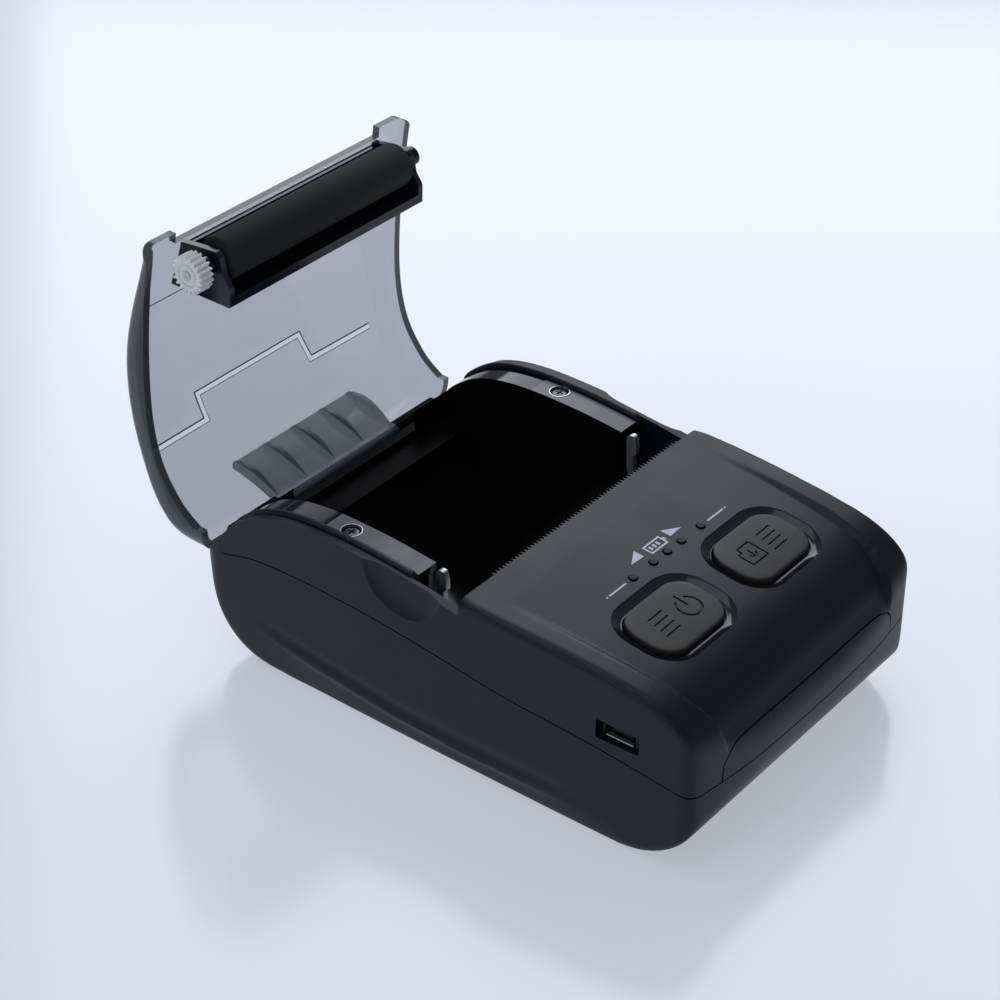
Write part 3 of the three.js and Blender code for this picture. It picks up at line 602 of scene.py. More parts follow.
def turned_part(profile: Sequence[Point], axis: Axis, centre: Point, sides: int = 96) -> Solid:
    """Returns a lathe part.

    Args:
        profile: its closed outline in radius and height, clear of the axis.
        axis: the axis that it is turned about.
        centre: where that axis lies in the other two.
        sides: how many faces it has round.

    Returns:
        The solid.
    """
    rows = []
    for angle in np.linspace(0, 2 * math.pi, sides, endpoint=False):
        u, v = math.cos(angle), math.sin(angle)
        rows.append([(centre[0] + r * u, centre[1] + r * v, h) for r, h in profile])
    order = {Axis.X: (2, 0, 1), Axis.Y: (0, 2, 1), Axis.Z: (0, 1, 2)}[axis]
    vertices = np.array(rows, float).reshape(-1, 3)[:, order]
    n = len(profile)
    faces = [(a * n + i, a * n + (i + 1) % n, (a + 1) % sides * n + (i + 1) % n, (a + 1) % sides * n + i)
             for a in range(sides) for i in range(n)]
    return Solid(vertices, faces)


def publish(solid: Solid, name: str, body: str, finish: Finish, replaces: Sequence[str] = (),
            crease: float = 28, place: Matrix | None = None,
            others: Sequence[tuple[Finish, Test]] = ()) -> None:
    """Makes a solid a finished piece.

    Args:
        solid: the shape, in millimetres.
        name: the piece's name.
        body: the body that it rides on.
        finish: its finish.
        replaces: the frame's nodes that it stands for.
        crease: the angle in degrees past which an edge stays sharp.
        place: where it is carried to, in millimetres.
        others: further finishes, each with a test of face centres that picks its faces.
    """
    mesh = solid.mesh.copy()
    mesh.name = name
    mesh.materials.clear()
    mesh.materials.append(finish.material())
    picked = np.zeros(len(mesh.polygons), np.int32)
    centres = np.zeros(len(mesh.polygons) * 3)
    mesh.polygons.foreach_get("center", centres)
    for i, (other, test) in enumerate(others, 1):
        picked[test(centres.reshape(-1, 3))] = i
        mesh.materials.append(other.material())
    mesh.polygons.foreach_set("material_index", picked)
    mesh.transform(Matrix.Scale(MM, 4) @ (place or Matrix()))
    mesh.polygons.foreach_set("use_smooth", np.ones(len(mesh.polygons), bool))
    mesh.set_sharp_from_angle(angle=math.radians(crease))
    item = bpy.data.objects.new(name, mesh)
    bpy.context.scene.collection.objects.link(item)
    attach(item, body)
    if replaces:
        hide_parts(*replaces)
    LOG.info("%s: %d faces on %s", name, len(mesh.polygons), body)


# ---- the outer form of the closed case ------------------------------------------------------
class Field:
    """Signed distance to a closed plane outline, kept on a grid: negative inside."""

    def __init__(self, outline: np.ndarray, step: float = 0.4, margin: float = 12) -> None:
        """Works the distances out once.

        Args:
            outline: the outline.
            step: the spacing of the grid.
            margin: how far the grid passes the outline.
        """
        self.low = outline.min(0) - margin
        self.step = step
        self.size = ((outline.max(0) + margin - self.low) / step).astype(int) + 2
        u, v = (self.low[k] + step * np.arange(self.size[k]) for k in (0, 1))
        at = np.stack(np.meshgrid(u, v, indexing="ij"), -1)
        best = np.full(at.shape[:2], np.inf)
        inside = np.zeros(at.shape[:2], bool)
        for a, b in zip(outline, np.roll(outline, -1, axis=0)):
            edge = b - a
            share = np.clip(((at - a) @ edge) / (edge @ edge), 0, 1)
            best = np.minimum(best, np.hypot(*np.moveaxis(at - a - share[..., None] * edge, -1, 0)))
            crosses = (a[1] > at[..., 1]) != (b[1] > at[..., 1])
            rise = edge[1] if edge[1] else 1.0
            inside ^= crosses & (at[..., 0] < a[0] + edge[0] * (at[..., 1] - a[1]) / rise)
        self.grid = np.where(inside, -best, best)

    def __call__(self, u: np.ndarray, v: np.ndarray) -> np.ndarray:
        """Returns the distances at points.

        Args:
            u: the points' first coordinates.
            v: the points' second coordinates.

        Returns:
            The distances.
        """
        i, j = ((w - self.low[k]) / self.step for k, w in enumerate((u, v)))
        i, j = (np.clip(w, 0, self.size[k] - 1.001) for k, w in enumerate((i, j)))
        a, b = i.astype(int), j.astype(int)
        f, g = i - a, j - b
        near = self.grid[a, b] * (1 - g) + self.grid[a, b + 1] * g
        far = self.grid[a + 1, b] * (1 - g) + self.grid[a + 1, b + 1] * g
        return near * (1 - f) + far * f


def soft_max(a: np.ndarray, b: np.ndarray, blend: float) -> np.ndarray:
    """Returns the larger of two, rounded where they cross."""
    near = np.maximum(blend - np.abs(a - b), 0)
    return np.maximum(a, b) + near * near / (4 * blend)


def soft_step(x: np.ndarray, low: float, high: float) -> np.ndarray:
    """Returns a smooth rise from 0 at low to 1 at high."""
    t = np.clip((x - low) / (high - low), 0, 1)
    return t * t * (3 - 2 * t)


@dataclass
class CaseForm:
    """The outer form that the two shells and the closed lid share."""

    half_width: float = 38.6
    base_tuck: float = 1.2
    base_edge: float = 1.6  # how round the edge between side and base is
    front: float = -53.0
    rear: float = 66.0
    base_front: float = -35.0
    base_rear: float = 50.0
    crown: float = 45.8
    crown_y: float = 32.0
    deck_rear: float = 0.9
    deck_z: float = 39.0
    edge: float = 4.0
    corner: float = 6.5
    wall: float = 2.0
    deck_edge: float = 1.8  # how round the edge between deck and side is
    deck_crease: tuple[Point3, ...] = ((-53, 27.0, 1.3), (-49.6, 28.1, 1.3), (-44.9, 30.1, 1.2),
                                       (-37, 31.4, 0.95), (-26.6, 32.0, 0.6), (-14, 32.6, 0.25),
                                       (-6, 32.8, 0.0))  # y, x, depth
    swage_line: tuple[Point, ...] = ((-60, 5.2), (-19, 4.9), (1, 4.4), (17, 5.0), (37, 7.3), (50, 9.4),
                                     (70, 11.0))  # y, z
    swage_slope: float = 0.1
    swage_bead: float = 0.5
    hinge: Point = (64.0, 23.6)
    seam_gap: float = 0.3
    fields: dict[str, Field] = field(default_factory=dict)

    def __post_init__(self) -> None:
        """Works out the two outlines."""
        self.side = self.side_outline()
        self.fields = {"side": Field(self.side), "plan": Field(self.plan_outline())}
        top = self.side[(self.side[:, 1] > 30) & (self.side[:, 0] < self.deck_rear + 0.01)]
        self.deck = top[np.argsort(top[:, 0])]
        self.seam = spline(((self.front - 3, 17.2), (self.front + 3, 17.6), (-30, 20.4), (-10, 22.3),
                            (8, 24.6), (24, 26.2), (40, 26.8), (52, 26.2), (61, 24.2), (self.rear + 4, 23.9)))
        self.rim = spline(((self.deck_rear - 1, 35.7), (12, 37.5), (26, 38.8), (40, 38.8), (50, 36.7),
                           (57, 32.2), (60.6, 27.5), (61.6, 24.3), (62.2, 20)))

    def side_outline(self) -> np.ndarray:
        """Returns the side view in Y and Z."""
        f, r, c, cy, dz = self.front, self.rear, self.crown, self.crown_y, self.deck_z
        outline = Outline(self.base_front, 0.0, steps=40).line((self.base_rear, 0.0))
        outline.cubic((self.base_rear + 9, 0.2), (r - 1, 7), (r, 17)).line((r + 1.4, 26))
        outline.cubic((r + 1.2, 34), (r - 3.5, 38.5), (r - 11, 41.4))
        outline.cubic((r - 19, c - 1.6), (cy + 9, c), (cy, c))
        outline.cubic((cy - 10, c), (12, c - 4.3), (4.5, dz + 0.4)).line((self.deck_rear, dz))
        outline.cubic((-15, dz - 0.6), (-28, dz - 1.4), (-38, dz - 3.1))
        outline.cubic((-46.5, dz - 4.8), (f + 1, dz - 8.5), (f, 20))
        outline.cubic((f, 9), (-46, 0.4), (self.base_front, 0.0))
        return outline.array()

    def plan_outline(self) -> np.ndarray:
        """Returns the plan view in X and Y: a bowed front and rounded corners."""
        w, f, rear = self.half_width, self.front, self.rear + 1.4
        half = Outline(0.0, f, steps=30).cubic((14, f), (24, f + 0.8), (33.6, f + 2.2))
        half.cubic((35.6, f + 2.5), (w - 1.8, f + 3.2), (w - 1.6, f + 5.6))
        half.line((w, -8.0), (w, rear - self.corner))
        half.arc((w - self.corner, rear - self.corner), self.corner, 0, 90)
        right = half.array()
        return np.vstack([right, (right[1:] * (-1, 1))[::-1]])

    def across(self, y: np.ndarray, z: np.ndarray) -> np.ndarray:
        """Returns the half-width of the sides, with the swage line along their foot.

        Args:
            y: the points' Y.
            z: the points' Z.

        Returns:
            The half-widths.
        """
        w, tuck = self.half_width, self.base_tuck
        plain = np.interp(z, [-1, 7, 20, 32, self.crown + 1], [w - tuck, w - tuck / 2.6, w, w - 0.1, w - 0.6])
        line = np.array(self.swage_line)
        lift = z - np.interp(y, line[:, 0], line[:, 1])
        bead = np.exp(-(lift / 0.8) ** 2) - 0.7 * np.exp(-((lift - 2.3) / 1.3) ** 2)
        shape = self.swage_bead * soft_step(y, -32, -20) * bead - self.swage_slope * np.maximum(-lift, 0)
        return plain + (1 - soft_step(y, 38, 56)) * shape

    def value(self, p: np.ndarray) -> np.ndarray:
        """Returns about how far points lie outside the form.

        Args:
            p: the points.

        Returns:
            The distances, negative inside.
        """
        x, y, z = np.abs(p[:, 0]), p[:, 1], p[:, 2]
        upper = soft_step(z, 20, 27) * (1 - soft_step(y, -3, 6))
        crease = np.array(self.deck_crease)
        edge_x, depth = (np.interp(y, crease[:, 0], crease[:, k]) for k in (1, 2))
        inside = 1 - soft_step(x, edge_x - 0.9, edge_x + 0.7)
        d = self.fields["side"](y, z) + depth * inside * upper
        w = x - np.interp(y, [self.front + 3, -8], [self.half_width - 1.5, self.half_width])
        lower = (1 - soft_step(z, 6, 14)) * (1 - soft_step(y, 36, 54))
        e = self.edge + (self.deck_edge - self.edge) * upper + (self.base_edge - self.edge) * lower
        total = np.minimum(np.maximum(d, w) + e, 0) + np.hypot(np.maximum(d + e, 0), np.maximum(w + e, 0)) - e
        total = soft_max(total, self.fields["plan"](p[:, 0], y), 0.9)
        return soft_max(total, x - self.across(y, z), 0.5)

    def skin(self, inset: float, spacing: float) -> Solid:
        """Returns the form as a closed mesh.

        Args:
            inset: how far its faces are moved in.
            spacing: the length of its mesh.

        Returns:
            The solid.
        """
        low = np.array([-self.half_width, self.front, 0.0])
        high = np.array([self.half_width, self.rear + 1.4, self.crown])
        reach_low, reach_high = np.array([13.0, 13.0, 13.0]), np.array([13.0, 13.0, 18.0])
        lines = []
        for k in range(3):
            core = (low[k] + reach_low[k], high[k] - reach_high[k])
            fan = np.tan(np.linspace(math.pi / 4, 0, max(6, int(13 / spacing)), endpoint=False))
            middle = np.linspace(*core, max(3, int((core[1] - core[0]) / spacing)))
            lines.append(np.concatenate([core[0] - reach_low[k] * fan, middle,
                                         (core[1] + reach_high[k] * fan)[::-1]]))
        shape = [len(line) for line in lines]
        at = np.stack(np.meshgrid(*lines, indexing="ij"), -1)
        index = np.full(shape, -1)
        shell = np.ones(shape, bool)
        shell[1:-1, 1:-1, 1:-1] = False
        index[shell] = np.arange(shell.sum())
        box_points = at[shell]
        core_points = np.clip(box_points, low + reach_low, high - reach_high)
        rays = box_points - core_points
        rays /= np.linalg.norm(rays, axis=1)[:, None]
        near, far = np.zeros(len(rays)), np.full(len(rays), 40.0)
        for _ in range(HALVINGS + 2):
            middle = (near + far) / 2
            outside = self.value(core_points + rays * middle[:, None]) + inset > 0
            far = np.where(outside, middle, far)
            near = np.where(outside, near, middle)
        faces = []
        for k in range(3):
            for end in (0, -1):
                sheet = np.take(index, end, axis=k)
                quads = np.stack([sheet[:-1, :-1], sheet[1:, :-1], sheet[1:, 1:], sheet[:-1, 1:]], -1)
                faces.append(quads.reshape(-1, 4))
        return Solid(core_points + rays * near[:, None], np.vstack(faces))

    def on_deck(self, y: float | np.ndarray) -> np.ndarray:
        """Returns the height of the deck at Y."""
        crease = np.array(self.deck_crease)
        return np.interp(y, self.deck[:, 0], self.deck[:, 1]) - np.interp(y, crease[:, 0], crease[:, 2])

    def above(self, line: np.ndarray, lift: float) -> Solid:
        """Returns all that lies above a line of the side view, lifted by that much."""
        ends = [(line[-1, 0], HIGH), (line[0, 0], HIGH)]
        return prism(Axis.X, np.vstack([line + (0, lift), ends]), -WIDE, WIDE)

    def below(self, line: np.ndarray, lift: float) -> Solid:
        """Returns all that lies below a line of the side view, lifted by that much."""
        ends = [(line[-1, 0], -20), (line[0, 0], -20)]
        return prism(Axis.X, np.vstack([line + (0, lift), ends]), -WIDE, WIDE)

    def strip(self, line: np.ndarray, low: float, high: float) -> Solid:
        """Returns the band between two heights over a line of the side view."""
        return prism(Axis.X, np.vstack([line + (0, low), (line + (0, high))[::-1]]), -WIDE, WIDE)

    def hull_edge(self, y: np.ndarray, z: np.ndarray) -> np.ndarray:
        """Returns the outer half-width at points of the side view.

        Args:
            y: the points' Y.
            z: the points' Z.

        Returns:
            The half-widths.
        """
        near, far = np.zeros(len(y)), np.full(len(y), WIDE)
        for _ in range(HALVINGS):
            middle = (near + far) / 2
            outside = self.value(np.column_stack([middle, y, z])) > 0
            far, near = np.where(outside, middle, far), np.where(outside, near, middle)
        return near


class Repeat:
    """A Geometry Nodes tree that sets copies of one shape along a line."""

    def __init__(self) -> None:
        """Builds the tree with its named inputs."""
        self.tree = bpy.data.node_groups.new("repeat_along_line", "GeometryNodeTree")
        face = self.tree.interface
        face.new_socket("Geometry", in_out="OUTPUT", socket_type="NodeSocketGeometry")
        self.inputs = {}
        for label, kind in (("Shape", "NodeSocketObject"), ("Count", "NodeSocketInt"),
                            ("Start", "NodeSocketVector"), ("Step", "NodeSocketVector"),
                            ("Finish", "NodeSocketMaterial")):
            self.inputs[label] = face.new_socket(label, in_out="INPUT", socket_type=kind).identifier
        nodes, links = self.tree.nodes, self.tree.links
        given, end = nodes.new("NodeGroupInput"), nodes.new("NodeGroupOutput")
        row, shape = nodes.new("GeometryNodeMeshLine"), nodes.new("GeometryNodeObjectInfo")
        copies, real = nodes.new("GeometryNodeInstanceOnPoints"), nodes.new("GeometryNodeRealizeInstances")
        finish = nodes.new("GeometryNodeSetMaterial")
        row.mode = "OFFSET"
        for source, target in ((given.outputs["Count"], row.inputs["Count"]),
                               (given.outputs["Start"], row.inputs["Start Location"]),
                               (given.outputs["Step"], row.inputs["Offset"]),
                               (given.outputs["Shape"], shape.inputs["Object"]),
                               (row.outputs[0], copies.inputs["Points"]),
                               (shape.outputs["Geometry"], copies.inputs["Instance"]),
                               (copies.outputs[0], real.inputs[0]), (real.outputs[0], finish.inputs[0]),
                               (given.outputs["Finish"], finish.inputs["Material"]),
                               (finish.outputs[0], end.inputs[0])):
            links.new(source, target)

    def along(self, shape: Solid, count: int, start: Point3, step: Point3, finish: Finish) -> Solid:
        """Returns copies of the shape.

        Args:
            shape: what is repeated, about the origin.
            count: how many copies.
            start: where the first one goes.
            step: from each copy to the next.
            finish: what the copies are made of.

        Returns:
            All the copies as one mesh.
        """
        pattern = bpy.data.objects.new("pattern", shape.mesh)
        carrier = bpy.data.objects.new("carrier", bpy.data.meshes.new("carrier"))
        for item in (pattern, carrier):
            bpy.context.scene.collection.objects.link(item)
        modifier = carrier.modifiers.new("repeat", "NODES")
        modifier.node_group = self.tree
        values = {"Shape": pattern, "Count": count, "Start": Vector(start), "Step": Vector(step),
                  "Finish": finish.material()}
        for label, value in values.items():
            modifier[self.inputs[label]] = value
        graph = bpy.context.evaluated_depsgraph_get()
        result = Solid.of(bpy.data.meshes.new_from_object(carrier.evaluated_get(graph)))
        carrier.modifiers.remove(modifier)
        for item in (pattern, carrier):
            bpy.data.objects.remove(item)
        return result


# ---- the shells ---------------------------------------------------------------------------
@dataclass
class Shells:
    """The upper and lower shells, with the deck's recesses, marks and tear teeth."""

    form: CaseForm
    outer: Solid
    inner: Solid
    repeat: Repeat
    button_gap: float = 0.4
    recess_ring: float = 2.0
    recess_depth: float = 1.0
    lamps: tuple[float, ...] = (-10.9, -4.5, 0.0, 4.5, 10.9)
    lamp_y: float = -18.6
    lamp_hole: float = 1.0
    scoop_at: tuple[float, float, float, float] = (14.2, 39.2, 10.2, 1.5)  # y, z, radius, depth
    rail_size: Point3 = (1.5, 4.2, 0.6)  # width, height and corner radius
    rail_ends: Point = (12.7, 59.4)
    rail_inset: float = 2.85  # from the case's side to the rail's middle
    rail_drop: float = 1.4  # from the rim down to the rail's middle
    panel_line: Point = (0.34, 0.5)  # width and depth of the line round the front panel
    usb: tuple[float, float, float, float] = (-34.6, 24.75, 9.2, 4.2)  # y, z, width, height
    teeth: int = 62
    teeth_span: tuple[float, float] = (-27.5, 31.3)
    usb_end: float = -34.6  # where the socket's slot ends inside
    door: Point3 = (31.0, -37.4, -19.8)  # half-width, front, rear
    door_gap: float = 0.3
    screw_pocket: Point = (2.4, 2.9)  # radius, depth
    hinge_sweep: float = 4.2  # radius that the lid's foot clears

    def build(self) -> None:
        """Makes both shells and all that is on them."""
        self.upper()
        self.lower()
        self.tear_teeth()
        self.marks()

    def recess(self, side: int) -> Solid:
        """Returns what is cut from the deck round a button: a dished ring that ends in the gap.

        Args:
            side: -1 for the left button, 1 for the right one.

        Returns:
            The cutter.
        """
        (x, y), (w, d, r), gap = BUTTON_AT, BUTTON_SIZE, self.button_gap
        sections = []
        for share in np.linspace(0, 1, 9):
            grow = self.recess_ring * (1 - share) + gap
            drop = self.recess_depth * math.sin(share * math.pi / 2)
            ring = rounded_rectangle(w + 2 * grow, d + 2 * grow, r + grow, side * x, y)
            sections.append(np.column_stack([ring, self.form.on_deck(ring[:, 1]) - drop]))
        lifted = sections[0] + (0, 0, 4)
        ring = rounded_rectangle(w + 2 * gap, d + 2 * gap, r + gap, side * x, y)
        bottom = np.column_stack([ring, np.full(len(ring), 28.0)])
        return loft([lifted, *sections, bottom])

    def scoop(self, side: int) -> Solid:
        """Returns the round dish that lets a finger under the lid's edge.

        Args:
            side: -1 for the left wall, 1 for the right one.

        Returns:
            The cutter.
        """
        y, z, radius, depth = self.scoop_at
        sections = []
        for share in [*np.linspace(0.004, 1.0, 40), 1.08]:
            ring = circle(y, z, radius * share, 200)
            x = self.form.half_width - depth * (1 - share ** 5)
            sections.append(np.insert(ring, 0, side * x, axis=1))
        return loft(sections)

    def rail(self, side: int) -> Solid:
        """Returns the raised rail just inside the rim of a side wall, with round ends and edges.

        Args:
            side: -1 for the left wall, 1 for the right one.

        Returns:
            The rail.
        """
        y = np.linspace(*self.rail_ends, 90)
        z = self.rim_height(y)
        edge = self.form.hull_edge(y, z)
        taper = np.sqrt(np.clip(np.minimum(y - y[0], y[-1] - y) / 1.2, 0.03, 1))
        sections = []
        for yy, zz, xx, t in zip(y, z, edge, taper):
            profile = rounded_rectangle(*self.rail_size, steps=6) * (1, t)
            sections.append(np.column_stack([side * (xx - self.rail_inset) + profile[:, 0],
                                             np.full(len(profile), yy), zz - self.rail_drop + profile[:, 1]]))
        return loft(sections)

    def rim_height(self, y: np.ndarray) -> np.ndarray:
        """Returns the height of the rim at Y, up to its steep rear end."""
        rim = self.form.rim[: int(np.argmax(self.form.rim[:, 0] > 60.5))]
        return np.interp(y, rim[:, 0], rim[:, 1])

    def front_panel(self) -> Solid:
        """Returns the thin line cut round the shallow panel on the front face."""
        half = ((28.4, 14.0), (28.4, 19.6), (27.8, 21.8), (25.6, 23.6), (21.0, 24.3))
        line = spline([*((-x, z) for x, z in half), (0.0, 24.2), *half[::-1]], 120)
        slope = np.gradient(line, axis=0)
        normal = np.column_stack([-slope[:, 1], slope[:, 0]]) / np.linalg.norm(slope, axis=1)[:, None]
        width, depth = self.panel_line
        band = np.vstack([line + normal * width / 2, (line - normal * width / 2)[::-1]])
        return prism(Axis.Y, band, -60, -40) - self.form.skin(depth, 1.2)

    def usb_slot(self) -> Solid:
        """Returns the cutter of the slot in front of the socket."""
        y, z, width, height = self.usb
        return prism(Axis.X, rounded_rectangle(width, height, 0.5, y, z, 4), -WIDE, self.usb_end)

    def upper(self) -> None:
        """Makes the upper shell."""
        form = self.form
        shell = (self.outer & form.above(form.seam, form.seam_gap / 2)) - self.inner
        shell = shell - (box((-WIDE, form.deck_rear, 0), (WIDE, HIGH, HIGH)) & form.above(form.rim, 0))
        shell = shell - box((-WIDE, form.hinge[0] - 3.3, 0), (WIDE, HIGH, HIGH))
        for side in SIDES:
            shell = shell + self.rail(side)
            shell = shell - self.recess(side) - self.scoop(side)
        shell = shell - self.front_panel()
        for x in self.lamps:
            shell = shell - rod(Axis.Z, self.lamp_hole, 30, 50, (x, self.lamp_y), 40)
        shell = shell - self.usb_slot()
        y, z = self.usb[:2]
        publish(box((-36.5, y - 2.9, z - 1.28), (-35.6, y + 2.9, z - 1.06)), "usb_lip", "case", PLATED)
        publish(shell, "upper_shell_moulding", "case", SATIN, ["upper_shell"],
                others=[(RECESS, self.in_recess)])

    def in_recess(self, at: np.ndarray) -> np.ndarray:
        """Returns which face centres lie in the polished rings round the buttons.

        Args:
            at: the face centres.

        Returns:
            A truth value for each.
        """
        (x, y), (w, d, _) = BUTTON_AT, BUTTON_SIZE
        reach = self.recess_ring + self.button_gap
        near = (np.abs(np.abs(at[:, 0]) - x) < w / 2 + reach) & (np.abs(at[:, 1] - y) < d / 2 + reach)
        depth = self.form.on_deck(at[:, 1]) - at[:, 2]
        return near & (depth > 0.1) & (depth < 1.6)

    def lower(self) -> None:
        """Makes the lower shell with its battery door, and cuts the pockets for its screws."""
        form = self.form
        y, z = form.hinge
        shell = (self.outer & form.below(form.seam, -form.seam_gap / 2)) - self.inner
        shell = shell - box((-31.6, y - 4, z - 2.4), (31.6, 75, 40))
        sweep = rod(Axis.X, self.hinge_sweep, -WIDE, WIDE, form.hinge, 96)
        sweep = sweep & box((-WIDE, form.rear - 0.5, 0), (WIDE, 75, 60))
        (half, front, rear), gap = self.door, self.door_gap
        shell = shell - sweep - box((-half, front, -1), (half, rear, 5)) - self.usb_slot()
        for at in CASE_SCREWS:
            shell = shell - rod(Axis.Z, self.screw_pocket[0], -1, self.screw_pocket[1], at, 48)
        publish(shell, "bottom_shell_moulding", "case", SATIN, ["bottom_shell"])
        door = (self.outer - self.inner) & box((gap - half, front + gap, -1), (half - gap, rear - gap, 5))
        ridge = rod(Axis.X, 0.4, -8, 8, (0, 0.1), 16)
        door = door - joined([ridge.moved(Matrix.Translation((0, front + 3 + i * 1.6, 0))) for i in range(3)])
        publish(door, "battery_door_moulding", "battery_door", SATIN, ["battery_door"])

    def tear_teeth(self) -> None:
        """Makes the teeth along the deck's rear edge."""
        low, high = self.teeth_span
        pitch = (high - low) / self.teeth
        top, rear = self.form.deck_z - 0.12, self.form.deck_rear
        tooth = Solid(np.array([(0, -0.5, top), (pitch, -0.5, top), (pitch / 2, 0.85, top),
                                (0, -0.5, top - 1.2), (pitch, -0.5, top - 1.2), (pitch / 2, 0.6, top - 1.2)]),
                      [(0, 1, 2), (3, 4, 5), (0, 1, 4, 3), (1, 2, 5, 4), (2, 0, 3, 5)])
        row = self.repeat.along(tooth, self.teeth, (low, rear, 0), (pitch, 0, 0), SATIN)
        publish(row, "tear_teeth", "case", SATIN)

    def marks(self) -> None:
        """Makes the plain printed signs beside the lamps."""
        y = self.lamp_y
        signs = [np.array([(s * 8.0, y + 2.5), (s * 4.3, y + 2.3), (s * 4.3, y + 4.7)]) for s in SIDES]
        bars = [(-2.6, 1.5, 2.6, 1.9), (-2.6, 3.7, 2.6, 4.1), (-2.6, 1.9, -2.2, 3.7), (2.2, 1.9, 2.6, 3.7),
                (2.6, 2.4, 3.1, 3.2), (-1.7, 2.3, -1.1, 3.3), (-0.6, 2.3, 0.0, 3.3), (0.5, 2.3, 1.1, 3.3),
                (-19.2, -0.2, -18.8, 0.2), (-18.3, -0.2, -13.2, 0.2), (13.2, -0.2, 18.3, 0.2),
                (18.8, -0.2, 19.2, 0.2)]
        signs += [np.array([(a, y + b), (c, y + b), (c, y + d), (a, y + d)]) for a, b, c, d in bars]
        pieces = []
        for outline in signs:
            height = self.form.on_deck(outline[:, 1])
            low, high = (np.column_stack([outline, height + lift]) for lift in (-0.1, 0.025))
            pieces.append(loft([low, high]))
        publish(stack(pieces), "lamp_signs", "case", PRINT)


def stack(solids: Sequence[Solid]) -> Solid:
    """Returns solids that stay apart as one mesh.

    Args:
        solids: the solids.

    Returns:
        All of them.
    """
    work = bmesh.new()
    for solid in solids:
        work.from_mesh(solid.mesh)
    mesh = bpy.data.meshes.new("stack")
    work.to_mesh(mesh)
    work.free()
    return Solid.of(mesh)


@dataclass
class Button:
    """A push button with a softly domed cap and an engraved sign."""

    form: CaseForm
    side: int
    rise: float = 0.1
    engraving: float = 0.28
    edge: Point = (0.35, 0.3)  # how far the cap's rim is rounded, in and down
    flange: Point3 = (1.2, 32.4, 33.4)  # reach past the cap, underside, top

    def cap(self) -> Solid:
        """Returns the cap, its rim rounded over, on its flange."""
        w, d, r = BUTTON_SIZE
        x, y = self.side * BUTTON_AT[0], BUTTON_AT[1]
        inward, down = self.edge
        reach, low, high = self.flange
        rings = [(0.0, -5.6), (0.0, -0.75)]
        rings += [(inward * (1 - math.cos(a)), -down * (1 - math.sin(a)))
                  for a in np.linspace(0.15, math.pi / 2, 8)]
        sections = []
        for inset, drop in rings:
            ring = rounded_rectangle(w - 2 * inset, d - 2 * inset, max(0.4, r - inset), x, y)
            top = self.form.on_deck(ring[:, 1]) + self.rise + drop
            sections.append(np.column_stack([ring, np.full(len(ring), low) if drop < -5 else top]))
        last = sections[-1]
        middle = last.mean(0)
        for share in (0.9, 0.7, 0.45, 0.2, 0.05):
            ring = middle + (last - middle) * (share, share, 1)
            ring[:, 2] = self.form.on_deck(ring[:, 1]) + self.rise
            sections.append(ring)
        flange = rounded_rectangle(w + 2 * reach, d + 2 * reach, r + reach, x, y)
        return loft(sections) + prism(Axis.Z, flange, low, high)

    def groove(self, path: Sequence[Point], width: float) -> Solid:
        """Returns a cutter that follows a path on the cap.

        Args:
            path: the path, from the button's middle.
            width: the groove's width.

        Returns:
            The cutter.
        """
        line = np.array(path, float)
        closed = math.dist(path[0], path[-1]) < 1e-6
        slope = np.gradient(line, axis=0)
        if closed:
            slope[0] = slope[-1] = line[1] - line[-2]
        across = np.column_stack([-slope[:, 1], slope[:, 0]]) / np.linalg.norm(slope, axis=1)[:, None]
        band = np.vstack([line + across * width / 2, (line - across * width / 2)[::-1]])
        band += (self.side * BUTTON_AT[0], BUTTON_AT[1])
        height = self.form.on_deck(band[:, 1]) + self.rise
        low, high = (np.column_stack([band, height + lift]) for lift in (-self.engraving, 1.5))
        return loft([low, high])

    def lines(self, x: float) -> list[Solid]:
        """Returns the cutters of the four lines beside a sign."""
        ends = [(x - 0.28 * i, 2.4 - 1.6 * i) for i in range(4)]
        return [self.groove([(a, b), (a + 4.4, b + 0.1)], 0.36) for a, b in ends]

    def power_sign(self) -> list[Solid]:
        """Returns the cutters of the power sign."""
        angles = np.radians(np.linspace(118, 422, 60))
        ring = [(4.1 + 2.5 * math.cos(a), -0.3 + 2.5 * math.sin(a)) for a in angles]
        return [self.groove(ring, 0.46), self.groove([(4.1, -0.1), (4.1, 3.3)], 0.46), *self.lines(-5.0)]

    def feed_sign(self) -> list[Solid]:
        """Returns the cutters of the paper feed sign."""
        sheet = [(-5.8, -2.2), (-5.8, 1.3), (-4.7, 1.3), (-4.7, 2.5), (-1.0, 2.5), (-1.0, -2.2), (-5.8, -2.2)]
        segments = [self.groove([a, b], 0.42) for a, b in zip(sheet, sheet[1:])]
        arrow = [((-3.2, 1.2), (-3.2, -1.0)), ((-4.3, -0.1), (-3.2, -1.2)), ((-3.2, -1.2), (-2.1, -0.1))]
        return [*segments, *(self.groove(stroke, 0.42) for stroke in arrow), *self.lines(1.7)]

    def build(self) -> None:
        """Makes the button."""
        name = "power_button" if self.side < 0 else "feed_button"
        cap = self.cap()
        for cutter in self.power_sign() if self.side < 0 else self.feed_sign():
            cap = cap - cutter
        cap = cap + rod(Axis.Z, 1.8, 32.0, 33.0, (self.side * BUTTON_AT[0], BUTTON_AT[1]), 40)
        publish(cap, f"{name}_cap", "power_key" if self.side < 0 else "feed_key", CAP, [name], crease=30)


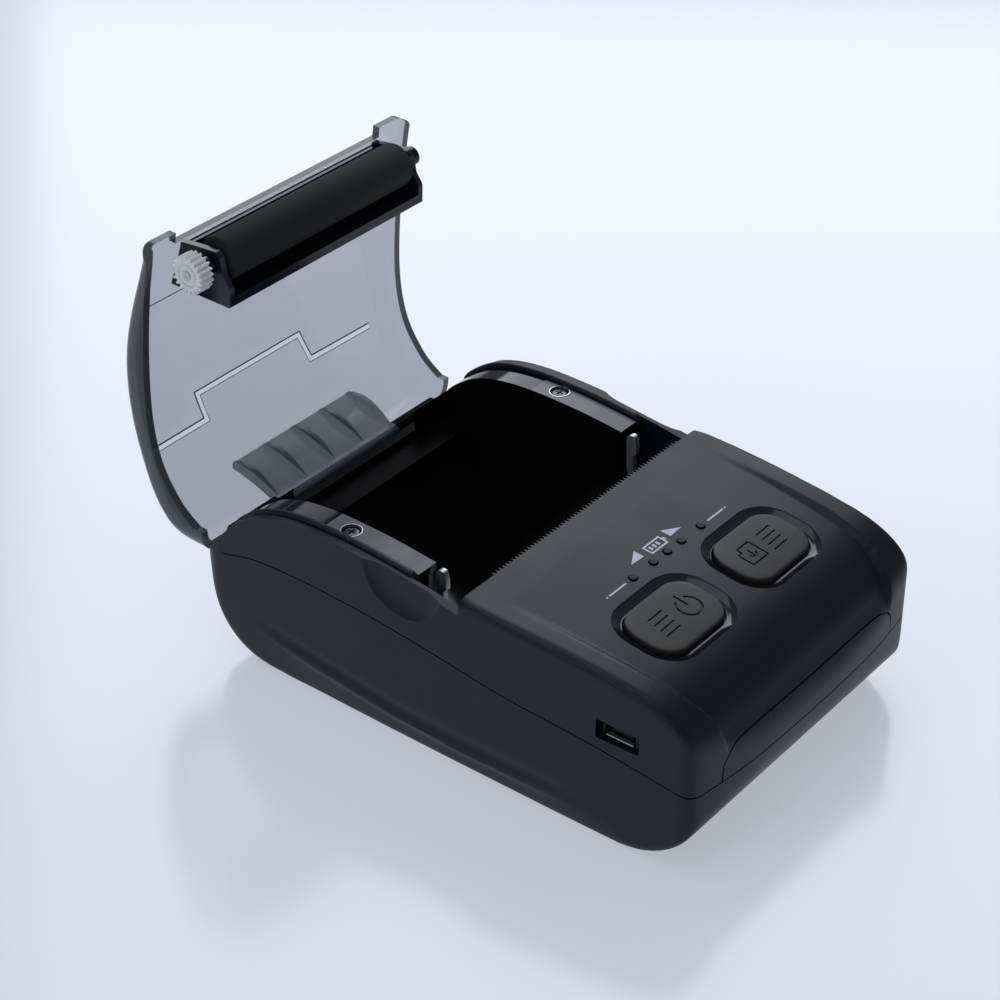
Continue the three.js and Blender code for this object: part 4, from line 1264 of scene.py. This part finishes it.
# ---- the paper bay --------------------------------------------------------------------------
@dataclass
class PaperBay:
    """The glossy bay that holds the roll, with its ledges, hinge knuckles and screws."""

    form: CaseForm
    half: float = 29.2
    wall: float = 1.2
    roll: Point3 = (31.7, 24.0, 20.5)  # y, z, radius
    ledge_drop: float = 0.3
    ledge: float = 1.6
    ledge_front: float = 13.3
    ledge_flat_end: float = 36.2
    lip: float = 24.4
    knuckle: Point3 = (1.9, 18.3, 31.0)  # radius, inner and outer end
    pin_hole: float = 1.1
    screw: Point = (32.4, 31.3)

    def build(self) -> None:
        """Makes the bay and its screws."""
        form, side = self.form, self.half + self.wall
        y, z, radius = self.roll
        hy = form.hinge[0]
        core = form.skin(3.9, 1.0)
        bowl = rod(Axis.X, radius + self.wall, -side, side, (y, z), 144)
        bowl = bowl & box((-WIDE, 0, 0), (WIDE, HIGH, z + 1.8))
        bowl = bowl - box((-WIDE, 0, self.lip), (WIDE, y, HIGH))
        cheeks = core & form.below(form.rim, -self.ledge_drop - self.ledge / 2)
        cheeks = cheeks & box((-side, y - 17.5, z), (side, hy - 4.9, 60))
        ledges = core & form.strip(form.rim, -self.ledge_drop - self.ledge, -self.ledge_drop)
        ledges = ledges & box((-WIDE, self.ledge_front, 20), (WIDE, hy - 4.4, 60))
        shelf = box((-side, y + radius - 0.4, z - 1.4), (side, hy - 1, z + 0.4))
        inside = rod(Axis.X, radius, -self.half, self.half, (y, z), 144)
        above = box((-self.half, y - radius, z), (self.half, hy - 5.4, 60))
        bay = joined([bowl, cheeks, ledges, shelf]) - inside - above
        bay = bay - box((-19, hy - 8, z + 1.6), (19, HIGH, HIGH))
        for s in SIDES:
            low, high = sorted((s * (self.half - 0.4), s * WIDE))
            bay = bay - box((low, 0, 14), (high, 14, 35))
        r, near, far = self.knuckle
        for s in SIDES:
            bay = bay + rod(Axis.X, r, s * near, s * far, form.hinge, 64)
        bay = bay - rod(Axis.X, r + 0.4, -near, near, form.hinge, 64)
        bay = bay - rod(Axis.X, self.pin_hole, -35, 35, form.hinge)
        ledge_z = float(self.ledge_top(self.screw[1]))
        for i, s in enumerate(SIDES):
            at = (s * self.screw[0], self.screw[1])
            bay = bay - rod(Axis.Z, 1.95, ledge_z - 1.35, 60, at, 48) - rod(Axis.Z, 1.3, 30, 60, at, 48)
            publish(self.screw_at(*at, ledge_z - 0.25), f"bay_screw_{i + 1}", "case", DARK_STEEL,
                    [f"bin_screw_{i + 1}"])
            publish(self.boss(*at, ledge_z), f"bay_screw_ring_{i + 1}", "case", PLATED)
        # the ledges' tops take a painted reflection
        publish(bay, "paper_bay", "case", GLOSS, ["paper_bin"],
                others=[(LEDGE_REFLECTION, self.on_ledge_reflection), (SHADED, self.on_shelf)])

    def ledge_top(self, y: float | np.ndarray) -> np.ndarray:
        """Returns the height of the ledges at Y, ahead of the rim's steep rear end."""
        return np.interp(y, self.form.rim[:60, 0], self.form.rim[:60, 1]) - self.ledge_drop

    def on_ledge_reflection(self, at: np.ndarray) -> np.ndarray:
        """Returns which face centres lie on top of the two ledges, in front of their chamfered rear ends.

        Args:
            at: the face centres.

        Returns:
            A truth value for each.
        """
        # painted reflection: these faces are painted light grey
        flat = np.abs(at[:, 2] - self.ledge_top(at[:, 1])) < 0.12
        along = (at[:, 1] > self.ledge_front) & (at[:, 1] < self.ledge_flat_end)
        return flat & along & (np.abs(at[:, 0]) > self.half - 0.05)

    def on_shelf(self, at: np.ndarray) -> np.ndarray:
        """Returns which face centres lie on the shelf behind the bay and on the knuckles."""
        behind = at[:, 1] > self.roll[0] + self.roll[2] + 0.3
        return behind & (np.abs(at[:, 0]) < self.half + self.wall + 0.05)

    def screw_at(self, x: float, y: float, face: float) -> Solid:
        """Returns a small pan-head screw with a cross recess.

        Args:
            x: where it stands.
            y: where it stands.
            face: the height of its head's top.

        Returns:
            The screw.
        """
        profile = [(0.05, face - 9), (0.95, face - 9), (0.95, face - 0.9), (1.55, face - 0.9),
                   (1.6, face - 0.35), (1.45, face - 0.08), (1.1, face), (0.05, face)]
        head = turned_part(profile, Axis.Z, (x, y), 48)
        head = head + rod(Axis.Z, 0.2, face - 8.9, face - 0.6, (x, y), 16)
        for a, b in ((0.95, 0.2), (0.2, 0.95)):
            head = head - box((x - a, y - b, face - 0.45), (x + a, y + b, face + 1))
        return head

    def boss(self, x: float, y: float, face: float) -> Solid:
        """Returns the thin bright ring that edges the screw's pocket."""
        return turned_part([(1.93, face - 0.4), (2.2, face - 0.3), (2.2, face + 0.03), (1.98, face + 0.05)],
                           Axis.Z, (x, y), 64)


# ---- the lid ----------------------------------------------------------------------------------
@dataclass
class Lid:
    """The smoked lid and what it carries, drawn closed and then swung open."""

    form: CaseForm
    outer: Solid
    repeat: Repeat
    open_angle: float = 88.0
    wall: float = 1.7
    gap: float = 0.3
    tab: Point = (29.4, 4.4)  # inner edge of the two front tabs, front edge between them
    tab_reach: Point = (1.2, 4.2)  # gap to the deck and corner radius of the tabs
    arm_half: float = 18.0
    arm_wall: float = 1.3
    ribs: int = 5
    rib_half: float = 0.45
    barrel: float = 1.9
    platen: tuple[float, float, float, float] = (6.4, 30.0, 4.6, 25.9)  # y, z, radius, half-length
    bracket_half: float = 28.3
    cheek: float = 1.3
    trough_wall: float = 1.2
    teeth: int = 20
    gear: tuple[float, float, float, float] = (0.36, 3.2, -34.4, 263.6)  # module, width, x, first tooth
    step_line: tuple[Point, ...] = ((-35.4, 49.6), (-20.4, 49.5), (-21.3, 43.6), (10.3, 43.5), (12.2, 49.6),
                                    (30.4, 49.9))
    short_line: tuple[Point, ...] = ((-33.4, 18.0), (-24.3, 18.0))
    line_depth: float = 0.03

    def __post_init__(self) -> None:
        """Works out where the open lid lies."""
        y, z = self.form.hinge
        hinge = Matrix.Translation((0, y, z))
        self.place = hinge @ Matrix.Rotation(-math.radians(self.open_angle), 4, "X") @ hinge.inverted()

    def build(self) -> None:
        """Makes the lid and all that it carries."""
        self.shell()
        self.lines()
        self.hinge_arm()
        self.bracket()
        self.roller()
        self.spur_gear()

    def shell(self) -> None:
        """Makes the lid itself."""
        form = self.form
        y, z = form.hinge
        inner = form.skin(self.wall, 0.8)
        skin = self.outer - inner
        tab_end, radius = form.deck_rear + self.tab_reach[0], self.tab_reach[1]
        kept = Outline(*self.tab, steps=16).line((self.tab[0], tab_end), (form.half_width - radius, tab_end))
        kept.arc((form.half_width - radius, tab_end + radius), radius, -90, 0)
        kept.line((WIDE, tab_end + radius), (WIDE, HIGH))
        half = kept.array()
        skin = skin & prism(Axis.Z, np.vstack([half, (half * (-1, 1))[::-1]]), 0, HIGH)
        rear = box((-WIDE, y - 3, z + 1.8), (WIDE, HIGH, HIGH))
        skin = (skin & form.above(form.rim, self.gap)) + (skin & rear)
        skin = skin - box((-WIDE, y - 3, 0), (WIDE, HIGH, z + 1.8))
        publish(skin, "lid_moulding", "lid", SMOKED, ["lid"], place=self.place, crease=35,
                others=[(SMOKED_EDGE_AND_SHADE, self.on_edge_or_shaded_cheek)])

    def on_edge_or_shaded_cheek(self, at: np.ndarray) -> np.ndarray:
        """Returns which face centres lie on the lid's cut edges or take painted shade on its left cheek.

        Args:
            at: the face centres.

        Returns:
            A truth value for each.
        """
        depth = -self.form.value(at)
        # painted shade: only the left cheek's outer face is darkened; the right cheek keeps the plain smoked
        # finish
        cheek = (depth <= 0.14) & (at[:, 0] < -self.form.half_width + 1.6)
        return cheek | (depth > 0.14) & (depth < self.wall - 0.14)

    def inner_height(self, x: np.ndarray, y: np.ndarray) -> np.ndarray:
        """Returns the height of the closed lid's inner face over points of the plan.

        Args:
            x: the points' X.
            y: the points' Y.

        Returns:
            The heights.
        """
        low, high = np.full(len(x), 30.0), np.full(len(x), 50.0)
        for _ in range(HALVINGS):
            middle = (low + high) / 2
            outside = self.form.value(np.column_stack([x, y, middle])) + self.wall > 0
            high, low = np.where(outside, middle, high), np.where(outside, low, middle)
        return low

    def ribbon(self, path: Sequence[Point], width: float, offset: float) -> Solid:
        """Returns a thin ribbon on the lid's inner face.

        Args:
            path: its route in X and Y.
            width: its width.
            offset: how far it lies to the route's left.

        Returns:
            The ribbon.
        """
        corners = np.array(path)
        dense = [corners[0]]
        for a, b in zip(corners, corners[1:]):
            steps = max(2, int(math.dist(a, b) / 1.5))
            dense += [a + (b - a) * i / steps for i in range(1, steps + 1)]
        line = np.array(dense)
        edges = []
        for shift in (offset, offset + width):
            moved = []
            for i, point in enumerate(line):
                before = point - line[max(i - 1, 0)] if i else line[1] - point
                after = line[min(i + 1, len(line) - 1)] - point if i < len(line) - 1 else before
                a, b = before / np.linalg.norm(before), after / np.linalg.norm(after)
                normal = np.array([-a[1] - b[1], a[0] + b[0]])
                normal /= np.linalg.norm(normal)
                moved.append(point + normal * shift / max(0.5, normal @ np.array([-a[1], a[0]])))
            edges.append(np.array(moved))
        band = np.vstack([edges[0], edges[1][::-1]])
        height = self.inner_height(band[:, 0], band[:, 1])
        count = len(band)
        n = len(line)
        top = np.column_stack([band, height + 0.02])
        low = np.column_stack([band, height - self.line_depth])
        faces = []
        for i in range(n - 1):
            j = count - 1 - i
            faces += [(i, i + 1, j - 1, j), (count + i, count + j, count + j - 1, count + i + 1)]
        faces += [(i, (i + 1) % count, count + (i + 1) % count, count + i) for i in range(count)]
        return Solid(np.vstack([top, low]), faces)

    def lines(self) -> None:
        """Makes the fine stepped line on the lid's inner face, in a dark and a pale stroke."""
        strokes = (("stepped_line_dark", self.step_line, 0.26, 0.0, LINE_DARK),
                   ("stepped_line_pale", self.step_line, 0.85, 0.3, LINE_PALE),
                   ("stepped_line_edge", self.step_line, 0.14, 1.18, LINE_DARK),
                   ("short_line_dark", self.short_line, 0.24, 0.0, LINE_DARK))
        for name, path, width, offset, finish in strokes:
            publish(self.ribbon(path, width, offset), name, "lid", finish, place=self.place)

    def hinge_arm(self) -> None:
        """Makes the curved arm with its ribs and barrel."""
        y, z = self.form.hinge
        y0, z0, y1, z1 = y - 1.2, z + 0.8, self.form.rear - 6.6, 36.1
        t = np.linspace(0, 1, 28)[:, None]
        start, bend, end = np.array([y0, z0]), np.array([y0 - 2.6, z0 + 6]), np.array([y1, z1])
        face = (1 - t) ** 2 * start + 2 * t * (1 - t) * bend + t * t * end
        back = (face + (self.arm_wall, 0))[::-1]
        plate = prism(Axis.X, np.vstack([face, back]), -self.arm_half, self.arm_half)
        barrel = rod(Axis.X, self.barrel, -self.arm_half, self.arm_half, (y, z), 64)
        depth = 1.9 * np.sin(math.pi * np.clip(np.linspace(0.06, 0.97, 28), 0, 1))
        rib_edge = face - np.column_stack([depth, np.zeros(28)])
        rib = prism(Axis.X, np.vstack([rib_edge, back]), -self.rib_half, self.rib_half)
        span = self.arm_half - self.rib_half - 0.1
        pitch = 2 * span / (self.ribs - 1)
        ribs = self.repeat.along(rib, self.ribs, (-span, 0, 0), (pitch, 0, 0), SMOKED_ARM)
        arm = (plate + barrel + ribs) - rod(Axis.X, 1.1, -40, 40, (y, z), 48)
        publish(arm, "hinge_arm_moulding", "lid", SMOKED_ARM, ["lid_hinge_arm"], place=self.place)

    def bracket(self) -> None:
        """Makes the trough that holds the platen."""
        form, half = self.form, self.bracket_half
        inset = self.wall + self.gap
        outside, inside = form.skin(inset, 1.2), form.skin(inset + self.trough_wall, 1.2)
        top = (outside - inside) & box((-half, 5, 30), (half, 14.6, 60))
        wall = prism(Axis.X, [(13.1, 25.3), (13.4, 25), (14.1, 25), (14.3, 25.3), (14.6, 39.5), (13.3, 39.5)],
                     -half, half)
        cheek = Outline(10.4, 25.0, steps=6).line((13.9, 25.0), (14.3, 25.4), (14.6, 42), (5, 42), (3.9, 34))
        cheek.line((3.4, 29.3)).arc((4.9, 28.8), 1.5, 180, 260).line((8, 26.6), (9.9, 25.2))
        parts = [top, wall & outside]
        for s in SIDES:
            parts.append(prism(Axis.X, cheek.array(), s * (half - self.cheek), s * half) & outside)
        brace = prism(Axis.X, [(12.2, 25.0), (13.4, 25.0), (13.4, 26.1), (12.9, 26.1)],
                      -half + 0.5, half - 0.5)
        bracket = joined([*parts, brace]) - rod(Axis.X, 1.3, -40, 40, self.platen[:2], 48)
        publish(bracket, "platen_trough", "lid", TROUGH, ["platen_bracket"], place=self.place, crease=25)

    def roller(self) -> None:
        """Makes the rubber roller, with its eased ends."""
        y, z, r, half = self.platen
        profile = [(1.02, -half), (r - 0.5, -half), (r - 0.15, -half + 0.12), (r, -half + 0.5),
                   (r, half - 0.5), (r - 0.15, half - 0.12), (r - 0.5, half), (1.02, half)]
        publish(turned_part(profile, Axis.X, (y, z), 128), "platen_rubber_roller", "platen", RUBBER,
                ["platen_roller"], place=self.place)

    def spur_gear(self) -> None:
        """Makes the white gear: curved flanks, a sunk web and a hub."""
        teeth, (module, width, x, tooth) = self.teeth, self.gear
        y, z = self.platen[:2]
        pitch_r = teeth * module / 2
        root, tip = pitch_r - 1.2 * module, pitch_r + 0.9 * module
        pitch = 2 * math.pi / teeth
        outline = []
        for i in range(teeth):
            at = math.radians(tooth) + i * pitch
            flank = [(root, -0.36), (root + 0.12, -0.29), (pitch_r, -0.235), (tip - 0.12, -0.15),
                     (tip, -0.09)]
            for r, share in [*flank, *((r, -share) for r, share in reversed(flank))]:
                outline.append((y + r * math.cos(at + share * pitch), z + r * math.sin(at + share * pitch)))
        gear = prism(Axis.X, outline, x + 0.02, x + width - 0.02)
        web = [(1.9, x - 1), (root - 0.75, x - 1), (root - 0.75, x + 0.35), (1.9, x + 0.35)]
        gear = gear - turned_part(web, Axis.X, (y, z), 64) - rod(Axis.X, 1.0, -40, 0, (y, z), 48)
        publish(gear, "platen_spur_gear", "platen", NYLON, ["platen_gear"], place=self.place, crease=35)


# ---- small metal parts ------------------------------------------------------------------------
@dataclass
class Hardware:
    """The latch arms and the screws of the case."""

    latch: tuple[float, float, float, float, float] = (29.5, 30.7, 8.3, 17.6, 37.2)  # x0, x1, pivot y, z, top
    screw_face: float = 0.8  # height of a case screw's head
    thread: tuple[int, float] = (14, 0.65)  # turns, pitch

    def build(self) -> None:
        """Makes them all."""
        for side, name in zip(SIDES, ("left", "right")):
            publish(self.latch_arm(side), f"latch_{name}_plate", f"latch_{name}", PLATED,
                    [f"latch_arm_{name}"])
        for i, (x, y) in enumerate(CASE_SCREWS, 1):
            publish(self.case_screw(x, y), f"case_screw_{i}_turned", "case", DARK_STEEL, [f"case_screw_{i}"])

    def latch_arm(self, side: int) -> Solid:
        """Returns a pressed arm with a rounded hook at its top.

        Args:
            side: -1 for the left arm, 1 for the right one.

        Returns:
            The arm.
        """
        x0, x1, y, z, top = self.latch
        outline = Outline(steps=16).arc((y, z), 1.9, 180, 350).line((12, 30), (12.2, top - 1.4))
        outline.arc((10.9, top - 1.3), 1.3, 0, 120)
        outline.line((9.75, top - 1.9), (9.75, top - 4.0), (10.5, top - 4.7), (10.2, 28))
        plate = prism(Axis.X, outline.array(), side * x0, side * x1)
        return (plate - rod(Axis.X, 1.3, -40, 40, (y, z), 48)).bevelled(0.16, 3, 40)

    def case_screw(self, x: float, y: float) -> Solid:
        """Returns a long screw whose head faces down.

        Args:
            x: where it stands.
            y: where it stands.

        Returns:
            The screw.
        """
        face = self.screw_face
        turns, pitch = self.thread
        profile = [(0.05, face), (1.5, face), (1.95, face + 0.25), (2.1, face + 0.7), (2.1, face + 1.8),
                   (1.0, face + 1.8)]
        for i in range(turns):
            profile += [(1.0, face + 2.2 + i * pitch), (0.82, face + 2.5 + i * pitch)]
        profile += [(0.9, face + 11.6), (0.05, face + 12)]
        screw = turned_part(profile, Axis.Z, (x, y), 40)
        screw = screw + rod(Axis.Z, 0.2, face + 0.6, face + 11.5, (x, y), 12)
        for a, b in ((1.2, 0.28), (0.28, 1.2)):
            screw = screw - box((x - a, y - b, face - 1), (x + a, y + b, face + 0.7))
        return screw


# ---- the studio -------------------------------------------------------------------------------
@dataclass(frozen=True)
class Softbox:
    """A square studio light."""

    name: str
    at: Point3  # metres
    size: float
    power: float
    colour: Point3
    target: Point3 = (0.0, 0.0, 0.03)


@dataclass
class Studio:
    """The pale floor, the lights and the camera."""

    eye: Point3 = (-0.329445, -0.239027, 0.309722)  # metres
    azimuth: float = -51.689
    elevation: float = 33.4
    focal: float = 92.44
    floor_half: float = 4.0  # metres
    floor_colour: Point3 = (0.42, 0.44, 0.49)
    floor_glow: Point3 = (0.80, 0.84, 0.95)
    glow_strength: float = 0.50
    floor_roughness: float = 0.16
    lights: tuple[Softbox, ...] = (
        Softbox("overhead", (-0.1, 0.25, 1.15), 0.9, 2.4, (0.90, 0.94, 1.0)),
        Softbox("rear_panel", (0.86, 0.62, 0.72), 0.8, 5.4, (0.90, 0.94, 1.0)),
        Softbox("left_fill", (-0.95, 0.25, 0.55), 0.6, 1.2, (0.92, 0.95, 1.0)),
    )
    world: Point3 = (0.80, 0.85, 0.95)
    world_strength: float = 0.24

    def build(self) -> None:
        """Sets everything up."""
        self.floor()
        for light in self.lights:
            self.light(light)
        world = bpy.data.worlds.new("studio")
        world.use_nodes = True
        background = world.node_tree.nodes["Background"]
        background.inputs["Color"].default_value = (*self.world, 1.0)
        background.inputs["Strength"].default_value = self.world_strength
        scene = bpy.context.scene
        scene.world = world
        scene.view_settings.view_transform = "Standard"
        camera = bpy.data.objects.new("camera", bpy.data.cameras.new("camera"))
        camera.data.lens = self.focal
        camera.data.sensor_width = 36
        camera.data.clip_end = 10
        camera.location = self.eye
        camera.rotation_euler = (math.radians(90 - self.elevation), 0, math.radians(self.azimuth))
        scene.collection.objects.link(camera)
        scene.camera = camera

    def floor(self) -> None:
        """Makes the floor, with a soft gloss."""
        shader = Shader("studio_floor")
        darker = tuple(c * 0.98 for c in self.floor_colour)
        tone = shader.blend(shader.noise(900, 1.0), self.floor_colour, darker)
        material = shader.surface({"Base Color": tone, "Roughness": self.floor_roughness,
                                   "Emission Color": (*self.floor_glow, 1.0),
                                   "Emission Strength": self.glow_strength})
        mesh = bpy.data.meshes.new("floor")
        h = self.floor_half
        mesh.from_pydata([(-h, -h, 0), (h, -h, 0), (h, h, 0), (-h, h, 0)], [], [(0, 1, 2, 3)])
        mesh.materials.append(material)
        floor = bpy.data.objects.new("floor", mesh)
        bpy.context.scene.collection.objects.link(floor)
        floor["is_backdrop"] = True

    def light(self, box_light: Softbox) -> None:
        """Hangs one light, facing its target.

        Args:
            box_light: the light.
        """
        data = bpy.data.lights.new(box_light.name, "AREA")
        data.shape = "SQUARE"
        data.size = box_light.size
        data.energy = box_light.power
        data.color = box_light.colour
        item = bpy.data.objects.new(box_light.name, data)
        item.location = box_light.at
        aim = Vector(box_light.target) - Vector(box_light.at)
        item.rotation_euler = aim.to_track_quat("-Z", "Y").to_euler()
        bpy.context.scene.collection.objects.link(item)


def dress_frame() -> None:
    """Gives every frame node that stays in view its finish."""
    for name, finish in CAD_FINISHES.items():
        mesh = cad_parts[name].data
        mesh.materials.clear()
        mesh.materials.append(finish.material())
        LOG.info("%s: %s", name, finish.name)


def write_sizes() -> None:
    boxes = {"cad": CAD_BOX, "visual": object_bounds()}
    plain = {key: [list(map(float, corner)) for corner in corners] for key, corners in boxes.items()}


def main() -> None:
    """Builds the studio and the printer."""
    logging.basicConfig(level=logging.INFO, format="%(message)s")
    Studio().build()
    form = CaseForm()
    outer, inner = form.skin(0.03, 0.55), form.skin(form.wall, 1.2)
    repeat = Repeat()
    Shells(form, outer, inner, repeat).build()
    for side in SIDES:
        Button(form, side).build()
    PaperBay(form).build()
    Lid(form, outer, repeat).build()
    Hardware().build()
    dress_frame()
    write_sizes()


if __name__ == "__main__":
    main()
